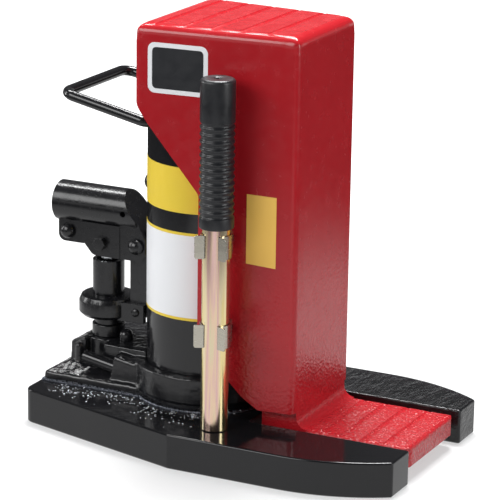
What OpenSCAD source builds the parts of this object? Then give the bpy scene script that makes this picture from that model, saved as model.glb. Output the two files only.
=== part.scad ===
// Hydraulic toe jack with a manual pump. The origin is on the floor under the
// ram axis, +Z is up, the toe points to +X and the stored handle stands at -Y.

/* [Base plate] */
// Thickness of the base plate
plate_t = 25; // [22:0.5:28]
// Width of the plate left behind the pump block
plate_tail = 3.2; // [1:0.1:8]
// Half width of the plate at its rear edge
plate_rear_half_w = 60; // [55:0.5:70]
// Where the plate's sides turn parallel, ahead of the ram axis
plate_shoulder_x = 18; // [5:1:30]
// Half width of the plate beside the toe
plate_half_w = 97; // [94:1:105]
// Where the prongs' outer sides start to curve in
prong_curve_x = 100; // [90:1:110]
// Radius of the prongs' outer sides
prong_curve_r = 136; // [115:1:150]
// Distance of the prong ends ahead of the ram axis
prong_end_x = 176.5; // [168:0.5:180]
// Half width of the slot round the toe
slot_half_w = 45.5; // [44:0.5:48]
// Distance of the slot's closed end from the flange
slot_gap = 2.5; // [1:0.5:4]
// Radius of the plate's rear corners
plate_rear_corner_r = 9; // [3:0.5:14]
// Radius of the plate's other corners
plate_corner_r = 3; // [1:0.5:5]

/* [Jack base casting] */
// Width of the flange outside the reservoir
flange_w = 8; // [6:0.5:9]
// Height of the flange above the plate
flange_h = 25; // [23:0.5:27]
// Height of the flange's narrower foot
flange_foot_h = 6; // [4:0.5:8]
// Distance of the pump block's rear edge behind the pump's axis
block_tail = 32.5; // [31.5:0.5:36]
// Half width of the pump block
block_half_w = 37.5; // [35:0.5:40]
// Height of the pump block's top above the plate
block_h = 30; // [28:0.5:32]
// Height of the ledge round the raised part, above the plate
ledge_h = 12.5; // [11:0.5:13]
// Height of the ledge's outer edges, above the plate
ledge_edge_h = 6.5; // [5:0.5:8]

/* [Reservoir] */
// Outer radius of the reservoir tube
reservoir_r = 44.5; // [43.5:0.25:45]
// Wall thickness of the reservoir tube
reservoir_wall = 3; // [2:0.25:4]
// Gap between the reservoir tube's top edge and the head's solid block
reservoir_gap = 8; // [7:0.5:12]
// Radius of the filler plug's dome
filler_r = 5.7; // [5:0.1:7]
// Place of the filler plug, as a share of the way from the lever up to the top nut
filler_share = 0.186; // [0.15:0.01:0.5]

/* [Ram] */
// Radius of the ram
ram_r = 19; // [17:0.5:20]
// Bore radius of the inner cylinder
ram_bore_r = 22.5; // [22:0.5:25]
// Wall thickness of the inner cylinder
ram_wall = 5.5; // [4:0.5:6]
// Length of the piston
piston_l = 23; // [18:1:28]

/* [Head casting] */
// Height of the head's top above the floor, lowered
head_top_z = 299.5; // [290:0.5:305]
// Height of the solid block at the top of the head
head_block_h = 59.5; // [54:0.5:62]
// Gap between the flange and the head's front wall
head_front_gap = 7.5; // [5:0.5:9]
// Thickness of the head's front wall
head_front_t = 28.8; // [24:0.1:32]
// Distance of the head's rear face behind the ram axis
head_rear_x = 31.5; // [28:0.5:33]
// How far the head's front corners stand out past the reservoir's side
head_front_side = 1.2; // [1:0.1:3]
// How much wider the head's rear face is on each side than its front face
head_flare = 9.7; // [9.5:0.1:12]
// Thickness of the head's side walls
head_wall = 7; // [6:0.25:7.25]
// Radius of the head's upright and top edges
head_edge_r = 7; // [3:0.5:8]
// Edge rounding of the head's upright corners
head_upright_r = 4.5; // [2:0.5:8]
// Depth of the grip grooves on the head and the toe
grip_groove_d = 1; // [0.5:0.1:1.5]
// Spacing of the grip grooves on the head
grip_groove_pitch = 20.3; // [18:0.1:24]

/* [Toe] */
// Height of the toe's top above the floor, lowered
toe_top_z = 23.6; // [21:0.2:24.5]
// Height of the toe's underside above the floor
toe_bottom_z = 9.2; // [7:0.2:11]
// Distance of the toe's tip ahead of the ram axis
toe_tip_x = 174; // [168:0.5:180]
// Half width of the toe
toe_half_w = 40; // [38:0.5:42]
// Fillet between the toe and the head's front face
toe_fillet_r = 8; // [6:0.5:14]
// Radius of the toe's edges
toe_edge_r = 3.2; // [2:0.2:4]

/* [Carry handle] */
// Radius of the carry handle's bar
carry_bar_r = 3.75; // [3:0.25:4.5]
// How far the legs' centre lines stand out past the reservoir's side
carry_side = 0.4; // [-1:0.1:1]
// Distance of the handle's cross bar behind the reservoir
carry_reach = 48.5; // [40:0.5:55]
// Bend radius at the handle's corners
carry_bend_r = 9; // [8:0.5:12]
// Slope of the handle above the horizontal
carry_tilt_deg = 11.7; // [8:0.1:14]

/* [Pump] */
// Distance of the pump's axis behind the reservoir
pump_offset = 37.5; // [37:0.25:39]
// Outer radius of the pump cylinder
pump_r = 11.5; // [10.5:0.25:12]
// Radius of the pump cylinder's neck, inside the swivel ring
pump_neck_r = 10; // [9.5:0.25:10.25]
// Length of plunger that shows above the pump cylinder, lever level
plunger_show = 6; // [5:0.5:7]
// Radius of the pump plunger
plunger_r = 6; // [5:0.25:6.5]
// Radius of the pump's gland nut
pump_nut_r = 12; // [11.5:0.25:13]
// Height of the pump's gland nut
pump_nut_h = 9; // [7:0.5:10]
// Outer radius of the swivel ring
ring_r = 21.5; // [20:0.25:23]
// Height of the swivel ring
ring_h = 16.2; // [15:0.2:17]
// Half width of the ring's fork
fork_half_w = 12; // [11.5:0.25:13]
// Distance of the link's pins ahead of the pump's axis
link_offset = 28.5; // [28:0.25:28.75]
// Distance between the link's two pins
link_l = 49; // [48:0.5:50]
// Half width of the link, seen from the side
link_r = 6.75; // [6:0.25:7]
// Half thickness of the link
link_half_t = 7.4; // [6.5:0.1:7.5]
// Radius of the link's pins
pin_r = 2.9; // [2.5:0.1:3.1]

/* [Lever socket] */
// Outer radius of the lever's tube
lever_r = 14.65; // [14:0.05:15]
// Bore radius of the lever's tube
lever_bore_r = 10.25; // [10:0.05:10.5]
// Distance of the tube's open end behind the pump's axis
lever_tail = 39; // [36:0.5:46]
// Depth of the handle's bore in the lever's tube
lever_bore_l = 56; // [45:0.5:58]
// Height of the tube's axis above the link's upper pin
lever_axis_h = 24; // [23.5:0.25:24.5]
// Half width across the lever's cheeks
cheek_half_w = 11.25; // [11:0.25:12]
// Depth of the cheeks below the link's upper pin
cheek_drop = 11; // [10:0.5:11.5]
// Radius of the plunger bolt
plunger_bolt_r = 3; // [2.5:0.25:3]
// Play of the plunger bolt along its slot in the cheeks, to each side
slot_play = 1.1; // [1.1:0.05:1.3]
// Distance of the rear ear's pin behind the pump's axis
ear_offset = 29; // [27:0.5:30]

/* [Stored handle] */
// Place of the handle's axis ahead of the ram axis
handle_x = 40.5; // [36:0.5:46]
// Distance of the handle's axis from the head's side
handle_standoff = 20.4; // [20:0.1:23]
// Outer radius of the handle tube
handle_r = 9.55; // [9.3:0.05:9.6]
// Wall thickness of the handle tube
handle_wall = 1.6; // [1.2:0.1:2]
// Outer radius of the grip
grip_r = 12.05; // [11.5:0.05:13]
// Height of the grip's lower end above the floor
grip_bottom_z = 169; // [166:1:172]
// Length of the grip
grip_l = 103; // [95:1:110]
// Number of raised rings on the grip
grip_ribs = 13; // [8:1:16]

/* [Spring clips] */
// Height of the lower clip's middle above the floor
clip_low_z = 93.3; // [80:0.1:100]
// Height of the upper clip's middle above the floor
clip_high_z = 156.4; // [140:0.1:160]
// Height of each clip
clip_h = 16.5; // [12:0.5:18]
// Thickness of the clips' spring strip
clip_t = 0.9; // [0.7:0.1:1.2]

/* [Hidden] */
// Overrun of a cutting body past the faces that it cuts
over = 1;
// Radial clearance of a running fit
run_fit = 0.05;
// Gap between two flat faces that slide on each other
face_gap = 0.1;
// Points along a rounded corner of an outline
corner_steps = 6;
$fn = 96;

// Places along the jack
pump_x = reservoir_r + pump_offset;
link_x = pump_x - link_offset;
lever_rear_x = pump_x + lever_tail;
ear_x = pump_x + ear_offset;
block_rear_x = pump_x + block_tail;
plate_rear_x = block_rear_x + plate_tail;
flange_r = reservoir_r + flange_w;
slot_end_x = flange_r + slot_gap;
head_cavity_x = flange_r + head_front_gap;
head_front_x = head_cavity_x + head_front_t;

// Heights of the stack on the base plate
flange_top_z = plate_t + flange_h;
lip_z = flange_top_z - reservoir_wall;
block_top_z = plate_t + block_h;
ledge_z = plate_t + ledge_h;
ledge_edge_z = plate_t + ledge_edge_h;

// Raised part of the pump block, stepped in plan on the near side
raised_rear_x = block_rear_x - 11;
raised_near_y = -19.5;
raised_front_y = -24;
recess_y = -12;
recess_half_l = 8;
rib_r = 3.2;

// Ram, its cylinder and the top nut
head_ceiling_z = head_top_z - head_block_h;
reservoir_top_z = head_ceiling_z - reservoir_gap;
cylinder_r = ram_bore_r + ram_wall;
cylinder_seat_z = plate_t + 15 / 25 * plate_t;
piston_z = cylinder_seat_z + plate_t / 2;
top_nut_h = 12 / 3 * reservoir_wall;
top_nut_flange_h = 4 / 3 * reservoir_wall;
top_nut_bottom_z = reservoir_top_z + top_nut_flange_h - top_nut_h;
top_nut_top_z = reservoir_top_z + top_nut_flange_h;
cylinder_top_z = top_nut_bottom_z + reservoir_wall;
wiper_r = ram_r + 4;
wiper_h = reservoir_wall;

// Head casting
head_front_half_w = reservoir_r + head_front_side;
head_rear_half_w = head_front_half_w + head_flare;
head_length = head_front_x + head_rear_x;
head_taper = (head_rear_half_w - head_front_half_w) / head_length;
head_taper_deg = atan(head_taper);
ram_socket_z = head_ceiling_z + head_block_h / 2;
head_wall_rear_x = 17;
head_foot_gap = 10;
head_foot_z = plate_t + head_foot_gap;
head_foot_rise = 43;
head_slope_h = 46;
head_neck_x = head_cavity_x + 2.5;
function head_half_w(x) = head_front_half_w + head_taper * (head_front_x - x);

// Toe
toe_groove_first_x = head_front_x + 17.4;
toe_groove_pitch = 16.5;
head_groove_first_x = head_front_x - 23.5;
toe_grooves = 4;
head_grooves = 5;
groove_r = 3 * grip_groove_d;

// Pump, link and lever
nut_top_z = block_top_z + pump_nut_h;
ring_bottom_z = nut_top_z + 6.5;
ring_top_z = ring_bottom_z + ring_h;
circlip_h = 1.3;
circlip_z = ring_bottom_z - face_gap - circlip_h;
pump_shoulder_z = ring_top_z + face_gap;
pump_floor_z = block_top_z - 8;
link_low_z = ring_bottom_z + 7.5;
link_high_z = link_low_z + link_l;
fork_gap = link_half_t + 0.3;
fork_end_x = link_x - 6.5;
plunger_pin_z = link_high_z - 1;
eye_r = 8;
pump_top_z = plunger_pin_z - eye_r - plunger_show;
plunger_low_z = pump_floor_z + 9;
swing_r = pump_x - reservoir_r - 0.5;
lever_axis_z = link_high_z + lever_axis_h;
lever_top_z = lever_axis_z + lever_r;
cheek_bottom_z = link_high_z - cheek_drop;
cheek_front_x = link_x - 7;
cheek_rear_x = pump_x + 16.5;
cheek_seam_x = pump_x - 15;
cheek_top_z = lever_axis_z - lever_r * 3 / 4;
slot_half_h = plunger_bolt_r + 0.25;
bolt_head_r = 5;
bolt_head_h = 4;
pin_dome_r = 5.7;
ear_pin_r = 5.7;
ear_half_w = 8;
ear_pin_z = link_high_z + 3.6;

// Release valve, tilted down towards the ram
valve_x = pump_x + 4;
valve_y = -28;
valve_z = plate_t + 20;
valve_tilt_deg = 10;
valve_r = 4.75;
valve_l = 44;
valve_boss_from = 25.7;
valve_boss_l = 33;
valve_boss_r = 10.7;
valve_boss_half_w = 6;
valve_ball_r = 2.5;

// Check valves under the pump and under the ram
ball_r = 3;
port_r = 1.6;
gallery_z = plate_t + 7;
pump_ball_z = pump_floor_z - ball_r * 7 / 5;
ram_ball_x = 12;
ram_ball_z = cylinder_seat_z - ball_r * 29 / 30;

// Overload valve cap between pump and reservoir
cap_x = reservoir_r + 18.5;
cap_y = -8;
cap_r = 5;
cap_h = 9.5;

// Filler plug
filler_angle = 191;
filler_z = lever_top_z + (top_nut_bottom_z - lever_top_z) * filler_share;
filler_shank_r = 4;
filler_rise = 4;

// Carry handle, in its own tilted plane
carry_half_w = reservoir_r + carry_side;
carry_rear_x = reservoir_r + carry_reach;
carry_weld_deg = 35.75;
carry_weld_x = reservoir_r * sin(carry_weld_deg);
carry_weld_z = reservoir_top_z - 4;
carry_end_bend_r = 6;
carry_run = (carry_rear_x - carry_weld_x) / cos(carry_tilt_deg);

// Stored handle and clips
handle_y = head_half_w(handle_x) + handle_standoff;
handle_gap = 0.5;
handle_bottom_z = plate_t + handle_gap;
grip_collar_h = 8;
grip_rib_pitch = 4.85;
grip_valley_r = grip_r - 0.9;
grip_cap_h = 9;
grip_hole_r = 2.5;
clip_r = handle_r + 0.25;
clip_stand = handle_standoff * cos(head_taper_deg);
clip_back_y = 12.6;
clip_neck_half_w = 6.4;
clip_pinch_deg = 60;
clip_lip_l = 7;
clip_lip_deg = 22;
spacer_r = 4.75;
screw_r = 2.5;
screw_head_r = 4.25;
screw_head_h = 1.6;

// Direction and outline helpers
function unit(v) = v / norm(v);
function turn_between(from, to) = (to - from + 540) % 360 - 180;
function angle_of(v) = atan2(v.y, v.x);

// Points of an arc of radius r round a centre
function arc(centre, r, from, to, n = corner_steps) =
    [for (i = [0:n]) let(a = from + (to - from) * i / n) centre + r * [cos(a), sin(a)]];

// The arc that replaces corner b between its neighbours a and c
function corner_arc(a, b, c, r) =
    let(
        u = unit(a - b),
        w = unit(c - b),
        half = acos(u * w) / 2,
        centre = b + unit(u + w) * r / sin(half),
        start = angle_of(b + u * r / tan(half) - centre),
        end = angle_of(b + w * r / tan(half) - centre)
    )
    arc(centre, r, start, start + turn_between(start, end));

// An outline whose corner i is rounded with radii[i]
function rounded(pts, radii) =
    let(n = len(pts))
    [for (i = [0:n - 1])
        each (radii[i] == 0
            ? [pts[i]]
            : corner_arc(pts[(i + n - 1) % n], pts[i], pts[(i + 1) % n], radii[i]))];

// An outline drawn in X and Z, extruded to half_w each side of y
module side_plate(pts, half_w, y = 0) {
    translate([0, y + half_w, 0])
        rotate([90, 0, 0])
            linear_extrude(2 * half_w) polygon(pts);
}

// A cylinder along Y, centred on y
module cross_bar(r, half_l, x, z, y = 0) {
    translate([x, y + half_l, z])
        rotate([90, 0, 0])
            cylinder(r = r, h = 2 * half_l);
}

// A dome of base radius r and the given rise, standing on z = 0
module dome(r, rise) {
    sphere_r = (r * r + rise * rise) / (2 * rise);
    intersection() {
        translate([0, 0, rise - sphere_r]) sphere(r = sphere_r);
        cylinder(r = r + over, h = rise + over);
    }
}

// Copies its children to the far side as well
module both_sides() {
    children();
    mirror([0, 1, 0]) children();
}

module base_plate() {
    color("#2b2b2d")
    difference() {
        union() {
            linear_extrude(plate_t)
                polygon(rounded([
                    [-plate_rear_x, -plate_rear_half_w],
                    [plate_shoulder_x, -plate_half_w],
                    [prong_curve_x, -plate_half_w],
                    [prong_curve_x, plate_half_w],
                    [plate_shoulder_x, plate_half_w],
                    [-plate_rear_x, plate_rear_half_w]
                ], [plate_rear_corner_r, plate_corner_r, 0, 0, plate_corner_r, plate_rear_corner_r]));
            intersection() {
                translate([prong_curve_x - over, -plate_half_w, 0])
                    cube([prong_end_x - prong_curve_x + over, 2 * plate_half_w, plate_t]);
                translate([prong_curve_x, plate_half_w - prong_curve_r, -over])
                    cylinder(r = prong_curve_r, h = plate_t + 2 * over, $fn = 180);
                translate([prong_curve_x, prong_curve_r - plate_half_w, -over])
                    cylinder(r = prong_curve_r, h = plate_t + 2 * over, $fn = 180);
            }
        }
        translate([0, 0, -over])
            linear_extrude(plate_t + 2 * over)
                polygon(rounded([
                    [slot_end_x, -slot_half_w],
                    [prong_end_x + over, -slot_half_w],
                    [prong_end_x + over, slot_half_w],
                    [slot_end_x, slot_half_w]
                ], [plate_corner_r, 0, 0, plate_corner_r]));
    }
}

// Places its children on the release valve's axis, from its free end inwards
module on_valve_axis() {
    translate([-valve_x, valve_y, valve_z])
        rotate([0, 90 + valve_tilt_deg, 0]) children();
}

module jack_base() {
    color("#2b2b2d")
    difference() {
        union() {
            translate([0, 0, plate_t]) cylinder(r = flange_r - flange_foot_h / 2, h = flange_h);
            translate([0, 0, plate_t + flange_foot_h]) cylinder(r = flange_r, h = flange_h - flange_foot_h);
            // Ledge, sloping down to its rear and near edges
            intersection() {
                side_plate(rounded([
                    [-block_rear_x, plate_t],
                    [-cylinder_r, plate_t],
                    [-cylinder_r, ledge_z],
                    [-raised_rear_x, ledge_z],
                    [-block_rear_x, ledge_edge_z]
                ], [0, 0, 0, 0, ball_r]), block_half_w + over);
                translate([-block_rear_x - over, 0, 0])
                    rotate([90, 0, 90])
                        linear_extrude(block_rear_x)
                            polygon(rounded([
                                [-block_half_w, plate_t - over],
                                [block_half_w, plate_t - over],
                                [block_half_w, ledge_z + over],
                                [raised_near_y, ledge_z + over],
                                [-block_half_w, ledge_edge_z]
                            ], [0, 0, 0, 0, ball_r]));
            }
            // Raised part that carries the pump, with a recess beside the release valve
            intersection() {
                side_plate(rounded([
                    [-raised_rear_x, plate_t],
                    [0, plate_t],
                    [0, block_top_z],
                    [-pump_x - pump_nut_r, block_top_z],
                    [-raised_rear_x + over, block_top_z - ball_r]
                ], [0, 0, 0, ball_r, ball_r]), block_half_w + over);
                linear_extrude(block_top_z + over)
                    polygon(rounded([
                        [-raised_rear_x - over, raised_near_y],
                        [-pump_x - recess_half_l, raised_near_y],
                        [-pump_x - recess_half_l, recess_y],
                        [-pump_x + recess_half_l, recess_y],
                        [-pump_x + recess_half_l, raised_front_y],
                        [over, raised_front_y],
                        [over, block_half_w],
                        [-raised_rear_x - over, block_half_w]
                    ], [0, over, over, over, ball_r, 0, 0, 0]));
            }
            // Upright rib beside the valve's free end
            translate([-pump_x - recess_half_l - rib_r - 2 * over, raised_near_y, plate_t]) {
                cylinder(r = rib_r, h = block_h - 2 * rib_r);
                translate([0, 0, block_h - 2 * rib_r]) dome(rib_r, rib_r);
            }
            translate([-pump_x, 0, plate_t]) cylinder(r = pump_nut_r + ball_r, h = block_h);
            // Boss that the release valve turns in, square to the valve's axis
            intersection() {
                on_valve_axis()
                    translate([0, 0, valve_boss_from])
                        linear_extrude(valve_boss_l)
                            polygon(rounded([
                                [-valve_boss_r, -valve_boss_half_w],
                                [valve_z - plate_t + over, -valve_boss_half_w],
                                [valve_z - plate_t + over, valve_boss_r + 2 * over],
                                [-valve_boss_r, valve_boss_r + 2 * over]
                            ], [ball_r, 0, 0, 0]));
                translate([-valve_x, -reservoir_r, plate_t]) cube([valve_x, reservoir_r, block_h]);
            }
        }
        // Seat of the reservoir tube and of the inner cylinder
        difference() {
            translate([0, 0, lip_z]) cylinder(r = reservoir_r, h = flange_h);
            translate([0, 0, lip_z - over]) cylinder(r = reservoir_r - reservoir_wall, h = reservoir_wall + over);
        }
        translate([0, 0, flange_top_z]) cylinder(r = reservoir_r, h = flange_h);
        translate([0, 0, cylinder_seat_z]) cylinder(r = cylinder_r, h = flange_h);
        // Pump bore with its valve and the gallery to the ram
        translate([-pump_x, 0, pump_floor_z]) cylinder(r = pump_neck_r, h = block_h);
        translate([-pump_x, 0, pump_ball_z - ball_r - run_fit])
            cylinder(r = ball_r + 4 * run_fit, h = pump_floor_z - pump_ball_z + ball_r + run_fit + over);
        for (x = [pump_x, ram_ball_x])
            translate([-x, 0, gallery_z - 2 * port_r]) cylinder(r = port_r, h = cylinder_seat_z - gallery_z);
        translate([-pump_x, 0, gallery_z])
            rotate([0, 90, 0]) cylinder(r = port_r * 3 / 4, h = pump_x - ram_ball_x);
        translate([-ram_ball_x, 0, ram_ball_z - ball_r - run_fit])
            cylinder(r = ball_r + 4 * run_fit, h = cylinder_seat_z - ram_ball_z + ball_r + run_fit + over);
        // Release valve, with the port behind its ball
        on_valve_axis() {
            translate([0, 0, valve_boss_from - 4 * valve_r])
                cylinder(r = valve_r + run_fit, h = valve_l - valve_boss_from + 4 * valve_r);
            translate([0, 0, valve_l - over]) cylinder(r = valve_ball_r + 4 * run_fit, h = 2 * valve_ball_r + over);
        }
        // Overload valve
        translate([-cap_x, cap_y, block_top_z - 2 * cap_r]) cylinder(r = cap_r / 2, h = 3 * cap_r);
    }
}

module reservoir_tube() {
    color("#2b2b2d")
    difference() {
        translate([0, 0, lip_z]) cylinder(r = reservoir_r, h = reservoir_top_z - lip_z);
        translate([0, 0, lip_z - over])
            cylinder(r = reservoir_r - reservoir_wall, h = reservoir_top_z - lip_z + 2 * over);
        translate([0, 0, filler_z])
            rotate([0, 90, filler_angle]) cylinder(r = filler_shank_r, h = reservoir_r + over);
    }
}

module filler_plug() {
    color("#2b2b2d")
    translate([0, 0, filler_z])
        rotate([0, 90, filler_angle]) {
            translate([0, 0, reservoir_r - reservoir_wall - over]) cylinder(r = filler_shank_r, h = reservoir_wall + over);
            difference() {
                translate([0, 0, reservoir_r - over]) {
                    cylinder(r = filler_r, h = 2 * over);
                    translate([0, 0, 2 * over]) dome(filler_r, filler_rise - over);
                }
                rotate([0, -90, 0]) translate([0, 0, -filler_r * 2]) cylinder(r = reservoir_r, h = 4 * filler_r);
            }
        }
}

module inner_cylinder() {
    color("silver")
    translate([0, 0, cylinder_seat_z])
        difference() {
            cylinder(r = cylinder_r, h = cylinder_top_z - cylinder_seat_z);
            translate([0, 0, -over]) cylinder(r = ram_bore_r, h = cylinder_top_z - cylinder_seat_z + 2 * over);
        }
}

module top_nut() {
    color("#2b2b2d")
    difference() {
        union() {
            translate([0, 0, top_nut_bottom_z]) cylinder(r = reservoir_r - reservoir_wall, h = top_nut_h);
            translate([0, 0, reservoir_top_z]) cylinder(r = reservoir_r, h = top_nut_flange_h);
        }
        translate([0, 0, top_nut_bottom_z - over]) cylinder(r = cylinder_r, h = cylinder_top_z - top_nut_bottom_z + over);
        translate([0, 0, top_nut_bottom_z - over]) cylinder(r = ram_r + run_fit, h = top_nut_h + 2 * over);
        translate([0, 0, top_nut_top_z - wiper_h]) cylinder(r = wiper_r, h = wiper_h + over);
    }
}

module rod_wiper() {
    color("#1c1c1c")
    translate([0, 0, top_nut_top_z - wiper_h])
        difference() {
            cylinder(r = wiper_r, h = wiper_h);
            translate([0, 0, -over]) cylinder(r = ram_r + run_fit, h = wiper_h + 2 * over);
        }
}

module ram() {
    color("#c8ccd0")
    translate([0, 0, piston_z + piston_l]) cylinder(r = ram_r, h = ram_socket_z - piston_z - piston_l);
}

// The packing's groove lies in the middle third of the piston
module piston() {
    color("silver")
    difference() {
        translate([0, 0, piston_z]) cylinder(r = ram_bore_r - run_fit, h = piston_l);
        translate([0, 0, piston_z + piston_l / 3])
            difference() {
                cylinder(r = ram_bore_r + over, h = piston_l / 3);
                translate([0, 0, -over]) cylinder(r = ram_r, h = piston_l / 3 + 2 * over);
            }
    }
}

module piston_packing() {
    color("#1c1c1c")
    translate([0, 0, piston_z + piston_l / 3])
        difference() {
            cylinder(r = ram_bore_r - run_fit, h = piston_l / 3);
            translate([0, 0, -over]) cylinder(r = ram_r, h = piston_l / 3 + 2 * over);
        }
}

// The head's side outline, from the front foot up and round to the rear wall
module head_profile() {
    side_plate(rounded([
        [head_front_x, head_foot_z],
        [head_front_x, head_top_z],
        [-head_rear_x, head_top_z],
        [-head_rear_x, head_ceiling_z + 5],
        [-head_rear_x + 10.5, head_ceiling_z - head_foot_gap],
        [head_wall_rear_x, head_ceiling_z - head_foot_gap - head_slope_h],
        [head_wall_rear_x, head_foot_z + head_foot_rise],
        [head_neck_x - 12, head_foot_z + 8],
        [head_neck_x, head_foot_z]
    ], [0, head_edge_r, head_edge_r, head_edge_r, head_edge_r, head_edge_r, head_edge_r,
        head_edge_r, 0]), 2 * head_rear_half_w);
}

// Space on one side of a side wall's plane, with the top edge rounded
module head_side() {
    inside = 4 * head_rear_half_w;
    translate([head_front_x, -head_front_half_w, 0])
        rotate([90, 0, head_taper_deg - 90])
            translate([0, 0, -head_length])
                linear_extrude(3 * head_length)
                    polygon(rounded([
                        [0, -over],
                        [0, head_top_z],
                        [-inside, head_top_z],
                        [-inside, -over]
                    ], [0, head_edge_r, 0, 0]));
}

// Plan outline of the head, drawn inwards from the outside by inset
module head_plan(inset, edge_r, front_x, z, h) {
    translate([0, 0, z])
        linear_extrude(h)
            polygon(rounded([
                [-head_rear_x, -head_half_w(-head_rear_x) + inset],
                [front_x, -head_half_w(front_x) + inset],
                [front_x, head_half_w(front_x) - inset],
                [-head_rear_x, head_half_w(-head_rear_x) - inset]
            ], [edge_r, edge_r, edge_r, edge_r]));
}

module toe_body() {
    toe_rear_x = head_neck_x;
    difference() {
        intersection() {
            side_plate(rounded([
                [toe_rear_x, toe_bottom_z],
                [toe_tip_x, toe_bottom_z],
                [toe_tip_x, toe_top_z],
                [head_front_x, toe_top_z],
                [head_front_x, head_foot_z + toe_fillet_r],
                [toe_rear_x, head_foot_z + toe_fillet_r]
            ], [0, over, toe_edge_r, toe_fillet_r, 0, 0]), toe_half_w);
            linear_extrude(head_top_z)
                polygon(rounded([
                    [0, -toe_half_w],
                    [toe_tip_x, -toe_half_w],
                    [toe_tip_x, toe_half_w],
                    [0, toe_half_w]
                ], [0, 2 * toe_edge_r, 2 * toe_edge_r, 0]));
            union() {
                rotate([90, 0, 90])
                    linear_extrude(toe_tip_x + over)
                        polygon(rounded([
                            [-toe_half_w, 0],
                            [toe_half_w, 0],
                            [toe_half_w, toe_top_z],
                            [-toe_half_w, toe_top_z]
                        ], [0, 0, toe_edge_r, toe_edge_r]));
                translate([0, -toe_half_w, toe_top_z - toe_edge_r])
                    cube([head_front_x + toe_fillet_r, 2 * toe_half_w, head_top_z]);
            }
        }
        for (i = [0:toe_grooves - 1])
            cross_bar(groove_r, toe_half_w + over, toe_groove_first_x + i * toe_groove_pitch,
                toe_top_z + groove_r - grip_groove_d);
    }
}

module head_casting() {
    color("#b3242b")
    difference() {
        union() {
            intersection() {
                head_profile();
                head_side();
                mirror([0, 1, 0]) head_side();
                head_plan(0, head_upright_r, head_front_x, 0, head_top_z + over);
            }
            toe_body();
        }
        difference() {
            translate([-over, 0, 0]) head_plan(head_wall, 0, head_cavity_x, 0, head_ceiling_z);
            translate([head_neck_x, -toe_half_w, 0]) cube([head_length, 2 * toe_half_w, head_foot_z]);
        }
        translate([0, 0, head_ceiling_z - over]) cylinder(r = ram_r, h = ram_socket_z - head_ceiling_z + over);
        for (i = [0:head_grooves - 1])
            cross_bar(groove_r, 2 * head_rear_half_w, head_groove_first_x - i * grip_groove_pitch,
                head_top_z + groove_r - grip_groove_d);
        at_clips() cross_bar(screw_r, head_wall, 0, 0, clip_stand);
    }
}

// One side of the carry handle: weld end, inward bend, leg and half the cross bar
module carry_half() {
    leg = carry_run - carry_bend_r;
    translate([0, -carry_half_w + carry_end_bend_r, 0])
        rotate([-90, 0, 0])
            cylinder(r = carry_bar_r, h = carry_half_w - carry_end_bend_r - cylinder_r);
    translate([-carry_end_bend_r, -carry_half_w + carry_end_bend_r, 0])
        rotate([0, 0, -90])
            rotate_extrude(angle = 90) translate([carry_end_bend_r, 0]) circle(r = carry_bar_r);
    translate([-leg, -carry_half_w, 0])
        rotate([0, 90, 0]) cylinder(r = carry_bar_r, h = leg - carry_end_bend_r);
    translate([-leg, -carry_half_w + carry_bend_r, 0])
        rotate([0, 0, 180])
            rotate_extrude(angle = 90) translate([carry_bend_r, 0]) circle(r = carry_bar_r);
    translate([-carry_run, -carry_half_w + carry_bend_r, 0])
        rotate([-90, 0, 0]) cylinder(r = carry_bar_r, h = carry_half_w - carry_bend_r);
}

module carry_handle() {
    color("#2b2b2d")
    difference() {
        translate([-carry_weld_x, 0, carry_weld_z])
            rotate([0, carry_tilt_deg, 0]) both_sides() carry_half();
        cylinder(r = reservoir_r, h = head_top_z);
    }
}

module release_valve() {
    color("#3a3a3c")
    on_valve_axis()
        difference() {
            cylinder(r = valve_r, h = valve_l);
            translate([-valve_r - over, -port_r / 2, -over])
                cube([2 * (valve_r + over), port_r, ball_r + over]);
        }
}

module valve_ball() {
    color("silver")
    on_valve_axis() translate([0, 0, valve_l + valve_ball_r]) sphere(r = valve_ball_r);
}

// Suction ball under the pump and delivery ball under the ram
module check_balls() {
    color("silver") {
        translate([-pump_x, 0, pump_ball_z]) sphere(r = ball_r);
        translate([-ram_ball_x, 0, ram_ball_z]) sphere(r = ball_r);
    }
}

module overload_cap() {
    color("#2b2b2d")
    translate([-cap_x, cap_y, block_top_z]) {
        translate([0, 0, -cap_r]) cylinder(r = cap_r / 2, h = cap_r);
        cylinder(r = cap_r, h = cap_h - cap_r);
        translate([0, 0, cap_h - cap_r]) dome(cap_r, cap_r * 4 / 5);
    }
}

module pump_cylinder() {
    cup_h = plunger_r * 2 / 3;
    color("#3a3a3c")
    translate([-pump_x, 0, 0])
        difference() {
            union() {
                translate([0, 0, pump_floor_z]) cylinder(r = pump_neck_r, h = pump_top_z - pump_floor_z);
                translate([0, 0, pump_shoulder_z]) cylinder(r = pump_r, h = pump_top_z - pump_shoulder_z);
            }
            translate([0, 0, pump_floor_z - over]) cylinder(r = plunger_r + run_fit, h = pump_top_z);
            translate([0, 0, pump_top_z - cup_h]) cylinder(r = plunger_r + ball_r, h = cup_h + over);
            translate([0, 0, circlip_z])
                difference() {
                    cylinder(r = pump_neck_r + over, h = circlip_h);
                    translate([0, 0, -over]) cylinder(r = pump_neck_r - over / 2, h = circlip_h + 2 * over);
                }
        }
}

module plunger_seal() {
    cup_h = plunger_r * 2 / 3;
    color("#1c1c1c")
    translate([-pump_x, 0, pump_top_z - cup_h])
        difference() {
            cylinder(r = plunger_r + ball_r, h = cup_h / 2);
            translate([0, 0, -over]) cylinder(r = plunger_r + run_fit, h = cup_h);
        }
}

module pump_nut() {
    color("#2b2b2d")
    translate([-pump_x, 0, block_top_z])
        difference() {
            cylinder(r = pump_nut_r, h = pump_nut_h);
            translate([0, 0, -over]) cylinder(r = pump_neck_r, h = pump_nut_h + 2 * over);
        }
}

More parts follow.
